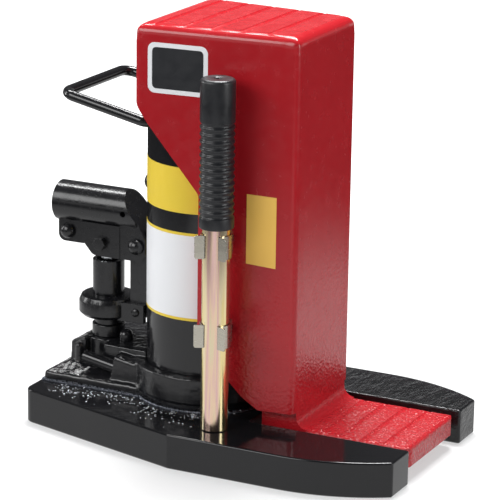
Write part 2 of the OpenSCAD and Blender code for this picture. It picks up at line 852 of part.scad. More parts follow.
module ring_circlip() {
    color("#3a3a3c")
    translate([-pump_x, 0, circlip_z])
        difference() {
            cylinder(r = pump_neck_r + 2 * over, h = circlip_h);
            translate([0, 0, -over]) cylinder(r = pump_neck_r - over / 2, h = circlip_h + 2 * over);
        }
}

module pump_plunger() {
    color("#d0d4d8")
    difference() {
        union() {
            translate([-pump_x, 0, plunger_low_z])
                cylinder(r = plunger_r, h = plunger_pin_z - plunger_low_z);
            cross_bar(eye_r, link_half_t, -pump_x, plunger_pin_z);
        }
        cross_bar(plunger_bolt_r, link_half_t + over, -pump_x, plunger_pin_z);
    }
}

module plunger_bolt() {
    color("#3a3a3c") {
        cross_bar(plunger_bolt_r, cheek_half_w + bolt_head_h / 2 + face_gap, -pump_x, plunger_pin_z, bolt_head_h / 2);
        translate([-pump_x, -cheek_half_w - face_gap, plunger_pin_z])
            rotate([90, 0, 0]) cylinder(r = bolt_head_r, h = bolt_head_h, $fn = 6);
    }
}

module plunger_bolt_nut() {
    color("#3a3a3c")
    translate([-pump_x, cheek_half_w + face_gap, plunger_pin_z])
        rotate([-90, 0, 0])
            difference() {
                cylinder(r = bolt_head_r, h = bolt_head_h - face_gap, $fn = 6);
                translate([0, 0, -over]) cylinder(r = plunger_bolt_r, h = bolt_head_h + 2 * over);
            }
}

// Space ahead of x that would strike the reservoir as the linkage swivels
module outside_swing(x, z, h) {
    difference() {
        translate([x, -pump_x / 2, z - over]) cube([pump_x, pump_x, h + 2 * over]);
        translate([-pump_x, 0, z - 2 * over]) cylinder(r = swing_r, h = h + 4 * over);
    }
}

module swivel_ring() {
    chamfer = ring_h / 6;
    color("#2b2b2d")
    difference() {
        union() {
            translate([-pump_x, 0, ring_bottom_z])
                rotate_extrude()
                    polygon([
                        [0, 0],
                        [ring_r - chamfer, 0],
                        [ring_r, chamfer],
                        [ring_r, ring_h - 2 * chamfer],
                        [ring_r - chamfer * 2 / 3, ring_h - chamfer / 2],
                        [ring_r - chamfer * 2, ring_h],
                        [0, ring_h]
                    ]);
            translate([-pump_x, 0, ring_bottom_z])
                linear_extrude(ring_h - chamfer)
                    polygon([
                        [0, -fork_half_w - chamfer],
                        [pump_x - link_x - link_r, -fork_half_w],
                        [pump_x - fork_end_x, -fork_half_w],
                        [pump_x - fork_end_x, fork_half_w],
                        [pump_x - link_x - link_r, fork_half_w],
                        [0, fork_half_w + chamfer]
                    ]);
        }
        outside_swing(-link_x - link_r, ring_bottom_z, ring_h);
        translate([-pump_x, 0, ring_bottom_z - over])
            cylinder(r = pump_neck_r + run_fit, h = ring_h + 2 * over);
        translate([-link_x - link_r - over, -fork_gap, ring_bottom_z - over])
            cube([pump_x, 2 * fork_gap, ring_h + 2 * over]);
        cross_bar(pin_r, fork_half_w + over, -link_x, link_low_z);
    }
}

module link() {
    color("#2b2b2d")
    difference() {
        union() {
            cross_bar(link_r, link_half_t, -link_x, link_low_z);
            cross_bar(link_r, link_half_t, -link_x, link_high_z);
            translate([-link_x - link_r, -link_half_t, link_low_z]) cube([2 * link_r, 2 * link_half_t, link_l]);
        }
        cross_bar(pin_r + run_fit, link_half_t + over, -link_x, link_low_z);
        cross_bar(pin_r + run_fit, link_half_t + over, -link_x, link_high_z);
    }
}

module link_lower_pin() {
    color("#3a3a3c") {
        cross_bar(pin_r, fork_half_w + over, -link_x, link_low_z);
        both_sides()
            translate([-link_x, fork_half_w + over, link_low_z]) rotate([-90, 0, 0]) dome(pin_r, pin_r / 3);
    }
}

// A pin through the lever with a dome head on the near side and a flat far end
module dome_pin(x, z, head_r, shank_half_l) {
    cross_bar(pin_r, shank_half_l + over / 2, x, z, over / 2);
    translate([x, -shank_half_l, z]) rotate([90, 0, 0]) {
        cylinder(r = head_r, h = head_r / 4);
        translate([0, 0, head_r / 4]) dome(head_r, head_r * 2 / 3);
    }
}

module link_upper_pin() {
    color("#2b2b2d") dome_pin(-link_x, link_high_z, pin_dome_r, cheek_half_w);
}

module ear_pin() {
    color("#2b2b2d") dome_pin(-ear_x, ear_pin_z, ear_pin_r, ear_half_w);
}

module lever_socket() {
    tube_l = lever_rear_x - link_x;
    color("#2b2b2d")
    difference() {
        union() {
            translate([-lever_rear_x, 0, lever_axis_z])
                rotate([0, 90, 0]) cylinder(r = lever_r, h = tube_l);
            // Cheeks, thinner ahead of the seam beside the link
            side_plate(rounded([
                [-cheek_rear_x, cheek_top_z],
                [-cheek_rear_x, link_high_z],
                [-pump_x - link_r, cheek_bottom_z],
                [-cheek_seam_x, cheek_bottom_z],
                [-cheek_seam_x, cheek_top_z]
            ], [0, link_r, link_r, 0, 0]), cheek_half_w);
            side_plate(rounded([
                [-pump_x, cheek_top_z],
                [-pump_x, cheek_bottom_z],
                [-cheek_front_x, cheek_bottom_z],
                [-cheek_front_x, lever_axis_z],
                [-cheek_seam_x, lever_axis_z],
                [-cheek_seam_x, cheek_top_z]
            ], [0, 0, link_r, 0, 0, 0]), cheek_half_w - over / 2);
            // Rear ear
            side_plate(rounded([
                [-ear_x - ear_half_w, lever_axis_z],
                [-ear_x - ear_half_w, ear_pin_z - ear_half_w],
                [-cheek_rear_x, ear_pin_z - ear_half_w],
                [-cheek_rear_x, lever_axis_z]
            ], [0, ear_half_w * 2 / 3, 0, 0]), ear_half_w);
        }
        translate([-lever_rear_x - over, 0, lever_axis_z])
            rotate([0, 90, 0]) cylinder(r = lever_bore_r, h = lever_bore_l + over);
        // Gap between the cheeks for the link and the plunger's eye
        translate([-pump_x - eye_r - 2 * over, -fork_gap, cheek_bottom_z - over])
            cube([pump_x, 2 * fork_gap, lever_axis_z - lever_r - cheek_bottom_z + 2 * over]);
        // Oblique front end, clear of the reservoir as the lever swings
        side_plate([
            [-link_x - lever_r + 2 * over, lever_axis_z + lever_r + over],
            [-link_x - link_r, lever_axis_z + lever_r / 3],
            [-link_x, lever_axis_z - lever_r / 3],
            [-cheek_front_x, lever_axis_z - lever_r / 3 - 2 * (link_x - cheek_front_x)],
            [0, lever_axis_z - lever_r / 3 - 2 * (link_x - cheek_front_x)],
            [0, lever_axis_z + lever_r + over]
        ], 2 * lever_r);
        outside_swing(-link_x - link_r, cheek_bottom_z, lever_axis_z - cheek_bottom_z);
        // Holes for the link's pin, the ear's pin, the handle's screw and the plunger bolt's slot
        cross_bar(pin_r, cheek_half_w + over, -link_x, link_high_z);
        cross_bar(pin_r, ear_half_w + over, -ear_x, ear_pin_z);
        cross_bar(pin_r * 3 / 4, lever_r, -link_x - lever_bore_r + over, lever_axis_z - over / 2, -lever_r);
        for (dx = [-slot_play, slot_play])
            cross_bar(slot_half_h, cheek_half_w + over, -pump_x + dx, plunger_pin_z);
        translate([-pump_x - slot_play, -cheek_half_w - over, plunger_pin_z - slot_half_h])
            cube([2 * slot_play, 2 * (cheek_half_w + over), 2 * slot_half_h]);
    }
}

module handle_tube() {
    color("#c9b36a")
    translate([handle_x, -handle_y, handle_bottom_z])
        difference() {
            cylinder(r = handle_r, h = grip_bottom_z + grip_l - grip_cap_h - handle_bottom_z);
            translate([0, 0, -over])
                cylinder(r = handle_r - handle_wall, h = grip_bottom_z + grip_l - handle_bottom_z);
        }
}

module handle_grip() {
    ribs_z = grip_collar_h + grip_rib_pitch / 4;
    color("#1c1c1c")
    translate([handle_x, -handle_y, grip_bottom_z])
        difference() {
            rotate_extrude()
                polygon(concat(
                    [[0, 0], [grip_r - over / 2, 0], [grip_r, over / 2], [grip_r, grip_collar_h]],
                    [for (i = [0:grip_ribs - 1]) let(z = ribs_z + i * grip_rib_pitch)
                        each [[grip_valley_r, z], [grip_valley_r, z + grip_rib_pitch / 4],
                            [grip_r, z + grip_rib_pitch / 2], [grip_r, z + grip_rib_pitch * 3 / 4]]],
                    arc([grip_r - 2 * over, grip_l - 2 * over], 2 * over, 0, 90),
                    [[0, grip_l]]
                ));
            translate([0, 0, -over]) cylinder(r = handle_r, h = grip_l - grip_cap_h + over);
            cylinder(r = grip_hole_r, h = grip_l + over);
        }
}

// Half of a clip's strip in plan, the handle's axis at the origin and the back at +Y.
// The strip runs from its back round the handle, pinches in and flares out as a lip.
module clip_half_strip() {
    outer_r = clip_r + clip_t;
    neck_deg = acos(clip_neck_half_w / clip_r);
    along = [cos(clip_lip_deg), -sin(clip_lip_deg)];
    across = [sin(clip_lip_deg), cos(clip_lip_deg)];
    pinch = clip_r * [cos(clip_pinch_deg), -sin(clip_pinch_deg)];
    reach = across * pinch + clip_t;
    lip_root = reach * across + sqrt(outer_r * outer_r - reach * reach) * along;
    polygon(concat(
        [[0, clip_back_y - clip_t], [clip_neck_half_w, clip_back_y - clip_t]],
        arc([0, 0], clip_r, neck_deg, -clip_pinch_deg, 4 * corner_steps),
        [pinch + clip_lip_l * along, pinch + clip_lip_l * along + clip_t * across],
        arc([0, 0], outer_r, angle_of(lip_root), neck_deg, 4 * corner_steps),
        [[clip_neck_half_w + clip_t, clip_back_y], [0, clip_back_y]]
    ));
}

// Places its children at both clips, turned square to the head's slanting side
module at_clips() {
    for (z = [clip_low_z, clip_high_z])
        translate([handle_x, -handle_y, z]) rotate([0, 0, head_taper_deg]) children();
}

module spring_clips() {
    color("#c8ccd0")
    at_clips()
        difference() {
            translate([0, 0, -clip_h / 2])
                linear_extrude(clip_h)
                    union() {
                        clip_half_strip();
                        mirror([1, 0]) clip_half_strip();
                    }
            cross_bar(screw_r, clip_t + over, 0, 0, clip_back_y);
        }
}

// Round spacers between the clips and the head's side
module clip_spacers() {
    spacer_l = clip_stand - clip_back_y;
    color("#2b2b2d")
    at_clips()
        difference() {
            cross_bar(spacer_r, spacer_l / 2, 0, 0, clip_back_y + spacer_l / 2);
            cross_bar(screw_r, spacer_l, 0, 0, clip_back_y + spacer_l / 2);
        }
}

module clip_screws() {
    color("silver")
    at_clips()
        translate([0, clip_back_y - clip_t, 0]) {
            translate([0, -screw_head_h, 0])
                rotate([-90, 0, 0]) cylinder(r = screw_head_r, h = screw_head_h);
            rotate([-90, 0, 0]) cylinder(r = screw_r, h = clip_stand - clip_back_y + clip_t + head_wall);
        }
}

base_plate();
jack_base();
reservoir_tube();
filler_plug();
inner_cylinder();
top_nut();
rod_wiper();
ram();
piston();
piston_packing();
head_casting();
carry_handle();
release_valve();
valve_ball();
check_balls();
overload_cap();
pump_cylinder();
plunger_seal();
pump_nut();
ring_circlip();
pump_plunger();
plunger_bolt();
plunger_bolt_nut();
swivel_ring();
link();
link_lower_pin();
link_upper_pin();
ear_pin();
lever_socket();
handle_tube();
handle_grip();
spring_clips();
clip_spacers();
clip_screws();
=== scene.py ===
import math
import random

import bmesh
import bpy
from bpy.props import FloatProperty, FloatVectorProperty, IntProperty, PointerProperty
from mathutils import Matrix, Vector, noise


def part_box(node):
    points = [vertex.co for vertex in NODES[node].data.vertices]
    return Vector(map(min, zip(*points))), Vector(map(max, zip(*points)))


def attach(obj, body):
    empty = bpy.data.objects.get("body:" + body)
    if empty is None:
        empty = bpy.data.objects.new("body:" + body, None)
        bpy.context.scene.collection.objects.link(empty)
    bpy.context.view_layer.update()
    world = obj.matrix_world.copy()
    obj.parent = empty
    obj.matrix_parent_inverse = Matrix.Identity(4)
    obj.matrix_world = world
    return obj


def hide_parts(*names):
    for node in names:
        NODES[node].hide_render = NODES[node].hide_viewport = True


bl_info = {
    "name": "Hydraulic toe jack",
    "version": (1, 0, 0),
    "blender": (4, 5, 0),
    "location": "View3D > Sidebar > Toe Jack",
    "description": "Dresses the toe jack with rounded castings, welds, enamel, plating and labels",
    "category": "Object",
}

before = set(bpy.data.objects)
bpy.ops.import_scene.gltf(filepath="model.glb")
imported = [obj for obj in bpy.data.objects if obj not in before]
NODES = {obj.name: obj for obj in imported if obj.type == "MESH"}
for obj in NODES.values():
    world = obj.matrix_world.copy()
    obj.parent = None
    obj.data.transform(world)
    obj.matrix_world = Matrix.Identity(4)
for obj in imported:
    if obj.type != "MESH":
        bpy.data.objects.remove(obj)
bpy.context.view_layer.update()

MM = 0.001
UP = Vector((0, 0, 1))

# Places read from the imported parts
TUBE_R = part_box("reservoir_tube")[1].x
PLATE_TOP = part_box("base_plate")[1].z
HEAD_LOW, HEAD_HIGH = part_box("head_casting")
HANDLE_LOW, HANDLE_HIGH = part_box("handle_tube")
GRIP_LOW, GRIP_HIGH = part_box("handle_grip")
BLOCK_LOW, BLOCK_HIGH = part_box("jack_base")
CARRY_LOW, CARRY_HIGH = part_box("carry_handle")

# The head's tapering plan, which its box doesn't give
HEAD_FRONT_X = 88.8 * MM
HEAD_REAR_X = HEAD_LOW.x
HEAD_FRONT_HALF_W = 45.7 * MM
HEAD_REAR_HALF_W = 55.4 * MM

HANDLE_X = (HANDLE_LOW.x + HANDLE_HIGH.x) / 2
HANDLE_Y = (HANDLE_LOW.y + HANDLE_HIGH.y) / 2
GRIP_R = (GRIP_HIGH.x - GRIP_LOW.x) / 2
TUBE_HANDLE_R = (HANDLE_HIGH.x - HANDLE_LOW.x) / 2


def head_half_w(x):
    """Half width of the head at a distance along its length: it tapers towards the toe."""
    share = (HEAD_FRONT_X - x) / (HEAD_FRONT_X - HEAD_REAR_X)
    return HEAD_FRONT_HALF_W + (HEAD_REAR_HALF_W - HEAD_FRONT_HALF_W) * share


def srgb(hex_colour):
    """An sRGB hex colour as linear RGBA."""
    channels = [int(hex_colour[i:i + 2], 16) / 255 for i in (1, 3, 5)]
    linear = [c / 12.92 if c <= 0.04045 else ((c + 0.055) / 1.055) ** 2.4 for c in channels]
    return (*linear, 1.0)


def colour_prop(name, hex_colour, description):
    return FloatVectorProperty(
        name=name,
        description=description,
        subtype="COLOR",
        size=4,
        min=0.0,
        max=1.0,
        default=srgb(hex_colour),
    )


def length_prop(name, value, description):
    return FloatProperty(
        name=name,
        description=description,
        subtype="DISTANCE",
        unit="LENGTH",
        min=0.0,
        default=value,
    )


class JackSizes(bpy.types.PropertyGroup):
    """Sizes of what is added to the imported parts"""

    edge_radius: length_prop("Edge radius", 0.9 * MM, "Rounding of machined and flame-cut edges")
    cast_voxel: length_prop("Casting grain", 0.85 * MM, "Mesh size of the rough black casting")
    cast_relief: length_prop("Casting relief", 0.45 * MM, "Height of the lumps on the black casting")
    bead_radius: length_prop("Weld bead radius", 2.6 * MM, "Half width of the weld beads")
    bead_pitch: length_prop("Weld ripple pitch", 1.7 * MM, "Distance between two ripples of a weld")
    spatter_count: IntProperty(
        name="Weld spatter", description="Number of spatter drops", default=330, min=0
    )
    label_thickness: length_prop("Label thickness", 0.18 * MM, "Thickness of the stuck-on labels")
    grip_ribs: IntProperty(
        name="Grip rings", description="Number of rings on the rubber grip", default=13, min=1
    )


class JackColours(bpy.types.PropertyGroup):
    """Colours of the finishes"""

    red: colour_prop("Red enamel", "#a61921", "Paint of the head casting")
    black: colour_prop("Black enamel", "#161618", "Paint of the plate, reservoir and pump")
    rubber: colour_prop("Grip rubber", "#1a1b1e", "Moulded rubber of the handle's grip")
    chromate: colour_prop("Yellow chromate", "#efdfae", "Passivated zinc plate of the handle tube")
    label_yellow: colour_prop("Label yellow", "#e6c83c", "Ground of the reservoir's yellow labels")
    label_amber: colour_prop("Label amber", "#f6c55e", "Ground of the upright label on the head")
    label_white: colour_prop("Label white", "#e9eaec", "Ground of the white labels")


# Building blocks for meshes


def cad_copy(node):
    """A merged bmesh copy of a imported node, its flat faces joined up."""
    bm = bmesh.new()
    bm.from_mesh(NODES[node].data)
    bmesh.ops.remove_doubles(bm, verts=bm.verts, dist=0.002 * MM)
    bmesh.ops.dissolve_limit(
        bm, angle_limit=math.radians(0.6), verts=bm.verts, edges=bm.edges, delimit={"NORMAL"}
    )
    return bm


def round_edges(bm, radius, segments=3, sharper_than=35):
    """Rounds every edge of a bmesh that is sharper than an angle in degrees."""
    limit = math.radians(sharper_than)
    edges = [e for e in bm.edges if len(e.link_faces) == 2 and e.calc_face_angle() > limit]
    bmesh.ops.bevel(
        bm,
        geom=edges,
        offset=radius,
        offset_type="OFFSET",
        affect="EDGES",
        segments=segments,
        profile=0.5,
        material=-1,
        clamp_overlap=True,
    )


def add_piece(name, bm, body, finish, smooth_below=40):
    """Makes an object of a bmesh, smooth where its faces meet below an angle, riding on a body."""
    mesh = bpy.data.meshes.new(name)
    bm.to_mesh(mesh)
    bm.free()
    for polygon in mesh.polygons:
        polygon.use_smooth = True
    mesh.set_sharp_from_angle(angle=math.radians(smooth_below))
    mesh.materials.append(finish)
    piece = bpy.data.objects.new(name, mesh)
    bpy.context.scene.collection.objects.link(piece)
    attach(piece, body)
    return piece


def even_shading(piece):
    """Keeps flat faces flat beside their rounded edges."""
    modifier = piece.modifiers.new("Face weighted normals", "WEIGHTED_NORMAL")
    modifier.keep_sharp = True
    modifier.weight = 80
    return piece


def dress_node(node, finish, body, radius, segments=3, sharper_than=35):
    """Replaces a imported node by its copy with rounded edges."""
    bm = cad_copy(node)
    round_edges(bm, radius, segments, sharper_than)
    piece = add_piece(node + "_finished", bm, body, finish)
    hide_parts(node)
    return even_shading(piece)


def paint_node(node, finish):
    """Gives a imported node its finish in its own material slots."""
    mesh = NODES[node].data
    mesh.materials.clear()
    mesh.materials.append(finish)
    for polygon in mesh.polygons:
        polygon.use_smooth = True
    mesh.set_sharp_from_angle(angle=math.radians(35))


def applied_modifiers(piece):
    """Turns a piece's live modifiers into its mesh."""
    graph = bpy.context.evaluated_depsgraph_get()
    mesh = bpy.data.meshes.new_from_object(piece.evaluated_get(graph))
    piece.modifiers.clear()
    piece.data = mesh
    return piece


def lathe(profile, steps=96):
    """A closed solid turned from (radius, height) points about the Z axis."""
    bm = bmesh.new()
    verts = [bm.verts.new((r, 0, z)) for r, z in profile]
    edges = [bm.edges.new(pair) for pair in zip(verts, verts[1:])]
    bmesh.ops.spin(
        bm,
        geom=verts + edges,
        axis=UP,
        cent=(0, 0, 0),
        angle=2 * math.pi,
        steps=steps,
        use_merge=True,
    )
    bmesh.ops.remove_doubles(bm, verts=bm.verts, dist=0.001 * MM)
    bmesh.ops.recalc_face_normals(bm, faces=bm.faces)
    return bm


def arc_points(centre, radius, start, end, count):
    """Points of an arc in a (radius, height) profile, angles in degrees."""
    return [
        (
            centre[0] + radius * math.cos(math.radians(start + (end - start) * i / count)),
            centre[1] + radius * math.sin(math.radians(start + (end - start) * i / count)),
        )
        for i in range(count + 1)
    ]


def place(bm, *matrices):
    """Moves a whole bmesh by each matrix in turn."""
    for matrix in matrices:
        bmesh.ops.transform(bm, matrix=matrix, verts=bm.verts)
    return bm


# Building blocks for materials


def add_node(tree, kind, settings=None, inputs=None):
    """Adds a shader node; an input given as a socket is linked and any other is its value."""
    made = tree.nodes.new(kind)
    for key, value in (settings or {}).items():
        setattr(made, key, value)
    for key, value in (inputs or {}).items():
        if isinstance(value, bpy.types.NodeSocket):
            tree.links.new(value, made.inputs[key])
        else:
            made.inputs[key].default_value = value
    return made


def new_finish(name):
    """A new node material with its Principled shader."""
    finish = bpy.data.materials.new(name)
    finish.use_nodes = True
    return finish, finish.node_tree, finish.node_tree.nodes["Principled BSDF"]


def grain(tree, coords, size, detail=3.0, roughness=0.55):
    """Noise whose lumps are about a size in metres."""
    return add_node(
        tree,
        "ShaderNodeTexNoise",
        inputs={"Vector": coords, "Scale": 1 / size, "Detail": detail, "Roughness": roughness},
    ).outputs["Fac"]


def mapped(tree, value, low, high, to_low=0.0, to_high=1.0):
    """A value taken from one range to another, clamped and eased."""
    return add_node(
        tree,
        "ShaderNodeMapRange",
        {"interpolation_type": "SMOOTHSTEP"},
        {0: value, 1: low, 2: high, 3: to_low, 4: to_high},
    ).outputs[0]


def maths(tree, operation, a, b):
    """The result of a Math node on two values or sockets."""
    return add_node(tree, "ShaderNodeMath", {"operation": operation}, {0: a, 1: b}).outputs[0]


def bump(tree, height, distance, normal=None):
    """The normal of a relief of a given height, laid over another normal if one is given."""
    inputs = {"Height": height, "Distance": distance, "Strength": 1.0}
    if normal is not None:
        inputs["Normal"] = normal
    return add_node(tree, "ShaderNodeBump", inputs=inputs).outputs["Normal"]


def mix_colour(tree, factor, a, b):
    return add_node(
        tree, "ShaderNodeMix", {"data_type": "RGBA"}, {0: factor, 6: a, 7: b}
    ).outputs[2]


def shade(colour, factor):
    """A linear colour made darker or lighter."""
    return (*[min(1.0, c * factor) for c in colour[:3]], 1.0)


def object_coords(tree):
    return add_node(tree, "ShaderNodeTexCoord").outputs["Object"]


def black_enamel(
    name, colours, peel_size=6 * MM, peel_height=0.03 * MM, roughness=0.16, cast_height=0.0
):
    """Air-dried black enamel on steel: deep, glossy, with a faint orange peel and, on
    castings, the sand grain showing through as small bright pricks."""
    finish, tree, shader = new_finish(name)
    coords = object_coords(tree)
    colour = tuple(colours.black)
    shader.inputs["IOR"].default_value = 1.5
    cloud = grain(tree, coords, 30 * MM)
    tree.links.new(
        mix_colour(tree, cloud, shade(colour, 0.8), shade(colour, 1.35)), shader.inputs["Base Color"]
    )
    fine = grain(tree, coords, 3 * MM)
    tree.links.new(
        mapped(tree, fine, 0.3, 0.75, roughness * 0.8, roughness * 1.3), shader.inputs["Roughness"]
    )
    normal = bump(tree, grain(tree, coords, peel_size, 2.0), peel_height)
    if cast_height:
        normal = bump(tree, grain(tree, coords, 2.2 * MM, 5.0, 0.7), cast_height, normal=normal)
    tree.links.new(normal, shader.inputs["Normal"])
    return finish


def plate_enamel(colours):
    """The same black enamel on the flame-cut plate: mirror smooth round the jack, with the
    torn, scaly rolling skin showing through on the far prong."""
    finish, tree, shader = new_finish("Black enamel on steel plate")
    coords = object_coords(tree)
    colour = tuple(colours.black)
    axis = add_node(tree, "ShaderNodeSeparateXYZ", inputs={"Vector": coords}).outputs
    shader.inputs["IOR"].default_value = 1.45
    cloud = grain(tree, coords, 40 * MM)
    tree.links.new(
        mix_colour(tree, cloud, shade(colour, 0.75), shade(colour, 1.3)), shader.inputs["Base Color"]
    )
    far_side = mapped(tree, axis["Y"], 30 * MM, 50 * MM)
    ahead = mapped(tree, axis["X"], -60 * MM, 40 * MM)
    scaly = maths(tree, "MULTIPLY", far_side, ahead)
    tree.links.new(mapped(tree, scaly, 0.0, 1.0, 0.1, 0.2), shader.inputs["Roughness"])
    peel = bump(tree, grain(tree, coords, 14 * MM, 2.0), 0.05 * MM)
    rolling_turn = math.radians(35)
    torn = add_node(
        tree,
        "ShaderNodeMapping",
        inputs={"Vector": coords, "Rotation": (0, 0, rolling_turn), "Scale": (1.0, 0.35, 1.0)},
    ).outputs[0]
    scale_height = maths(tree, "MULTIPLY", grain(tree, torn, 6.0 * MM, 5.0, 0.62), scaly)
    tree.links.new(bump(tree, scale_height, 1.5 * MM, normal=peel), shader.inputs["Normal"])
    return finish


def red_enamel(colours):
    """Red machinery enamel over a sand casting: satin, with a leathery skin that grows
    coarser towards the foot of the column and on the toe's top."""
    finish, tree, shader = new_finish("Red enamel over sand casting")
    coords = object_coords(tree)
    colour = tuple(colours.red)
    axis = add_node(tree, "ShaderNodeSeparateXYZ", inputs={"Vector": coords}).outputs
    shader.inputs["IOR"].default_value = 1.5
    cloud = grain(tree, coords, 45 * MM, 2.0)
    tree.links.new(
        mix_colour(tree, cloud, shade(colour, 0.93), shade(colour, 1.07)), shader.inputs["Base Color"]
    )
    low = mapped(tree, axis["Z"], HEAD_HIGH.z * 0.6, HEAD_HIGH.z * 0.1, 0.04, 1.0)
    toe_top = mapped(tree, axis["X"], HEAD_FRONT_X, HEAD_FRONT_X + 12 * MM, 0.0, 2.8)
    coarse = maths(tree, "MAXIMUM", low, toe_top)
    tree.links.new(
        mapped(tree, grain(tree, coords, 9 * MM), 0.3, 0.7, 0.18, 0.28), shader.inputs["Roughness"]
    )
    leather = add_node(
        tree,
        "ShaderNodeTexVoronoi",
        {"feature": "SMOOTH_F1"},
        {"Vector": coords, "Scale": 1 / (2.1 * MM), "Smoothness": 0.6, "Randomness": 1.0},
    ).outputs["Distance"]
    height = maths(tree, "ADD", leather, grain(tree, coords, 2.8 * MM, 4.0, 0.6))
    normal = bump(tree, maths(tree, "MULTIPLY", height, coarse), 0.24 * MM)
    normal = bump(tree, grain(tree, coords, 2.4 * MM, 3.0), 0.05 * MM, normal=normal)
    tree.links.new(normal, shader.inputs["Normal"])
    return finish


def grip_rubber(colours):
    """Moulded PVC-rubber grip: black, half matt, with faint bloom."""
    finish, tree, shader = new_finish("Moulded rubber grip")
    coords = object_coords(tree)
    colour = tuple(colours.rubber)
    shader.inputs["IOR"].default_value = 1.5
    tree.links.new(
        mix_colour(tree, grain(tree, coords, 12 * MM), shade(colour, 0.8), shade(colour, 1.4)),
        shader.inputs["Base Color"],
    )
    tree.links.new(
        mapped(tree, grain(tree, coords, 6 * MM), 0.3, 0.7, 0.3, 0.42), shader.inputs["Roughness"]
    )
    tree.links.new(bump(tree, grain(tree, coords, 1.2 * MM), 0.02 * MM), shader.inputs["Normal"])
    return finish


def yellow_chromate(colours):
    """Zinc plate with yellow chromate: pale gold metal in soft streaks, with a painted sheen: a pink and
    lilac band, between creamy gold ones, runs down the middle of the tube as the camera sees it."""
    finish, tree, shader = new_finish("Yellow chromate on zinc plate")
    coords = object_coords(tree)
    gold = tuple(colours.chromate)
    shader.inputs["Metallic"].default_value = 1.0
    streaks = add_node(
        tree, "ShaderNodeMapping", inputs={"Vector": coords, "Scale": (1.0, 1.0, 0.05)}
    ).outputs[0]
    # Painted sheen: the pink band is laid across the view, on the middle of the tube as the camera sees
    # it, a little to its left.
    sheen_turn = math.radians(26)
    sheen_offset = 2.2 * MM
    across = add_node(
        tree,
        "ShaderNodeVectorMath",
        {"operation": "DOT_PRODUCT"},
        {0: coords, 1: (math.cos(sheen_turn), math.sin(sheen_turn), 0.0)},
    ).outputs["Value"]
    centre = HANDLE_X * math.cos(sheen_turn) + HANDLE_Y * math.sin(sheen_turn) - sheen_offset
    off_sheen_line = maths(tree, "ABSOLUTE", maths(tree, "SUBTRACT", across, centre), 0.0)
    band = mapped(tree, off_sheen_line, 2.5 * MM, 7.0 * MM, 0.3, 0.0)
    drift = maths(tree, "MULTIPLY", grain(tree, streaks, 5 * MM, 3.0, 0.55), 0.7)
    # The film value mixes the chromate's own streaks with the painted sheen of the band.
    film = maths(tree, "ADD", band, maths(tree, "SUBTRACT", drift, 0.1))
    ramp = add_node(tree, "ShaderNodeValToRGB", inputs={0: film})
    # The middle stops give the pink and lilac of the painted sheen, the outer ones the chromate's gold
    # and cream.
    stops = (
        (0.2, "#f0dc9c"), (0.32, "#f6e6c4"), (0.44, "#eac3b0"),
        (0.52, "#ddb0ba"), (0.6, "#eac8b2"), (0.7, "#d2d8b4"),
    )
    while len(ramp.color_ramp.elements) < len(stops):
        ramp.color_ramp.elements.new(0.5)
    for element, (position, tint) in zip(ramp.color_ramp.elements, stops):
        element.position = position
        element.color = srgb(tint)
    tree.links.new(
        mix_colour(tree, 0.8, gold, ramp.outputs["Color"]), shader.inputs["Base Color"]
    )
    tree.links.new(
        mapped(tree, grain(tree, streaks, 3 * MM), 0.3, 0.7, 0.12, 0.24), shader.inputs["Roughness"]
    )
    tree.links.new(bump(tree, grain(tree, streaks, 2 * MM), 0.01 * MM), shader.inputs["Normal"])
    return finish


def plated_steel(name, tint, roughness, brush_size=0.6 * MM):
    """Bright plated or ground steel with fine drawn lines."""
    finish, tree, shader = new_finish(name)
    coords = object_coords(tree)
    shader.inputs["Metallic"].default_value = 1.0
    lines = add_node(
        tree, "ShaderNodeMapping", inputs={"Vector": coords, "Scale": (1.0, 1.0, 6.0)}
    ).outputs[0]
    fine = grain(tree, lines, 6 * brush_size)
    tree.links.new(
        mix_colour(tree, fine, shade(srgb(tint), 0.85), srgb(tint)), shader.inputs["Base Color"]
    )
    tree.links.new(
        mapped(tree, fine, 0.3, 0.7, roughness * 0.8, roughness * 1.3), shader.inputs["Roughness"]
    )
    tree.links.new(bump(tree, fine, 0.01 * MM), shader.inputs["Normal"])
    return finish


def label_vinyl(name, colour):
    """Printed vinyl film under a clear laminate: flat colour with a soft sheen and slight wrinkles."""
    finish, tree, shader = new_finish(name)
    coords = object_coords(tree)
    shader.inputs["IOR"].default_value = 1.45
    tree.links.new(
        mix_colour(tree, grain(tree, coords, 18 * MM), shade(colour, 0.95), colour),
        shader.inputs["Base Color"],
    )
    tree.links.new(
        mapped(tree, grain(tree, coords, 7 * MM), 0.3, 0.7, 0.32, 0.42), shader.inputs["Roughness"]
    )
    tree.links.new(bump(tree, grain(tree, coords, 10 * MM, 1.0), 0.03 * MM), shader.inputs["Normal"])
    return finish


FINISHES = {}


def finish_of(name, make):
    """Makes a finish the first time that it is asked for."""
    if name not in FINISHES:
        FINISHES[name] = make()
    return FINISHES[name]


def black_smooth():
    colours = bpy.context.scene.jack_colours
    return finish_of("black_smooth", lambda: black_enamel("Black enamel on tube", colours))


def black_cast():
    colours = bpy.context.scene.jack_colours
    return finish_of(
        "black_cast",
        lambda: black_enamel("Black enamel on casting", colours, 4 * MM, 0.1 * MM, 0.2, 0.12 * MM),
    )


def black_forged():
    colours = bpy.context.scene.jack_colours
    return finish_of(
        "black_forged",
        lambda: black_enamel("Black enamel on forging", colours, 5 * MM, 0.06 * MM, 0.22, 0.03 * MM),
    )


def red():
    return finish_of("red", lambda: red_enamel(bpy.context.scene.jack_colours))


def bright_steel():
    return finish_of(
        "bright_steel", lambda: plated_steel("Zinc-plated spring steel", "#c6c1b4", 0.24, 4 * MM)
    )


def ground_steel():
    return finish_of("ground_steel", lambda: plated_steel("Ground hard-chromed steel", "#cfd2d6", 0.12))


def machined_steel():
    return finish_of("machined_steel", lambda: plated_steel("Machined steel", "#9a9da1", 0.3))


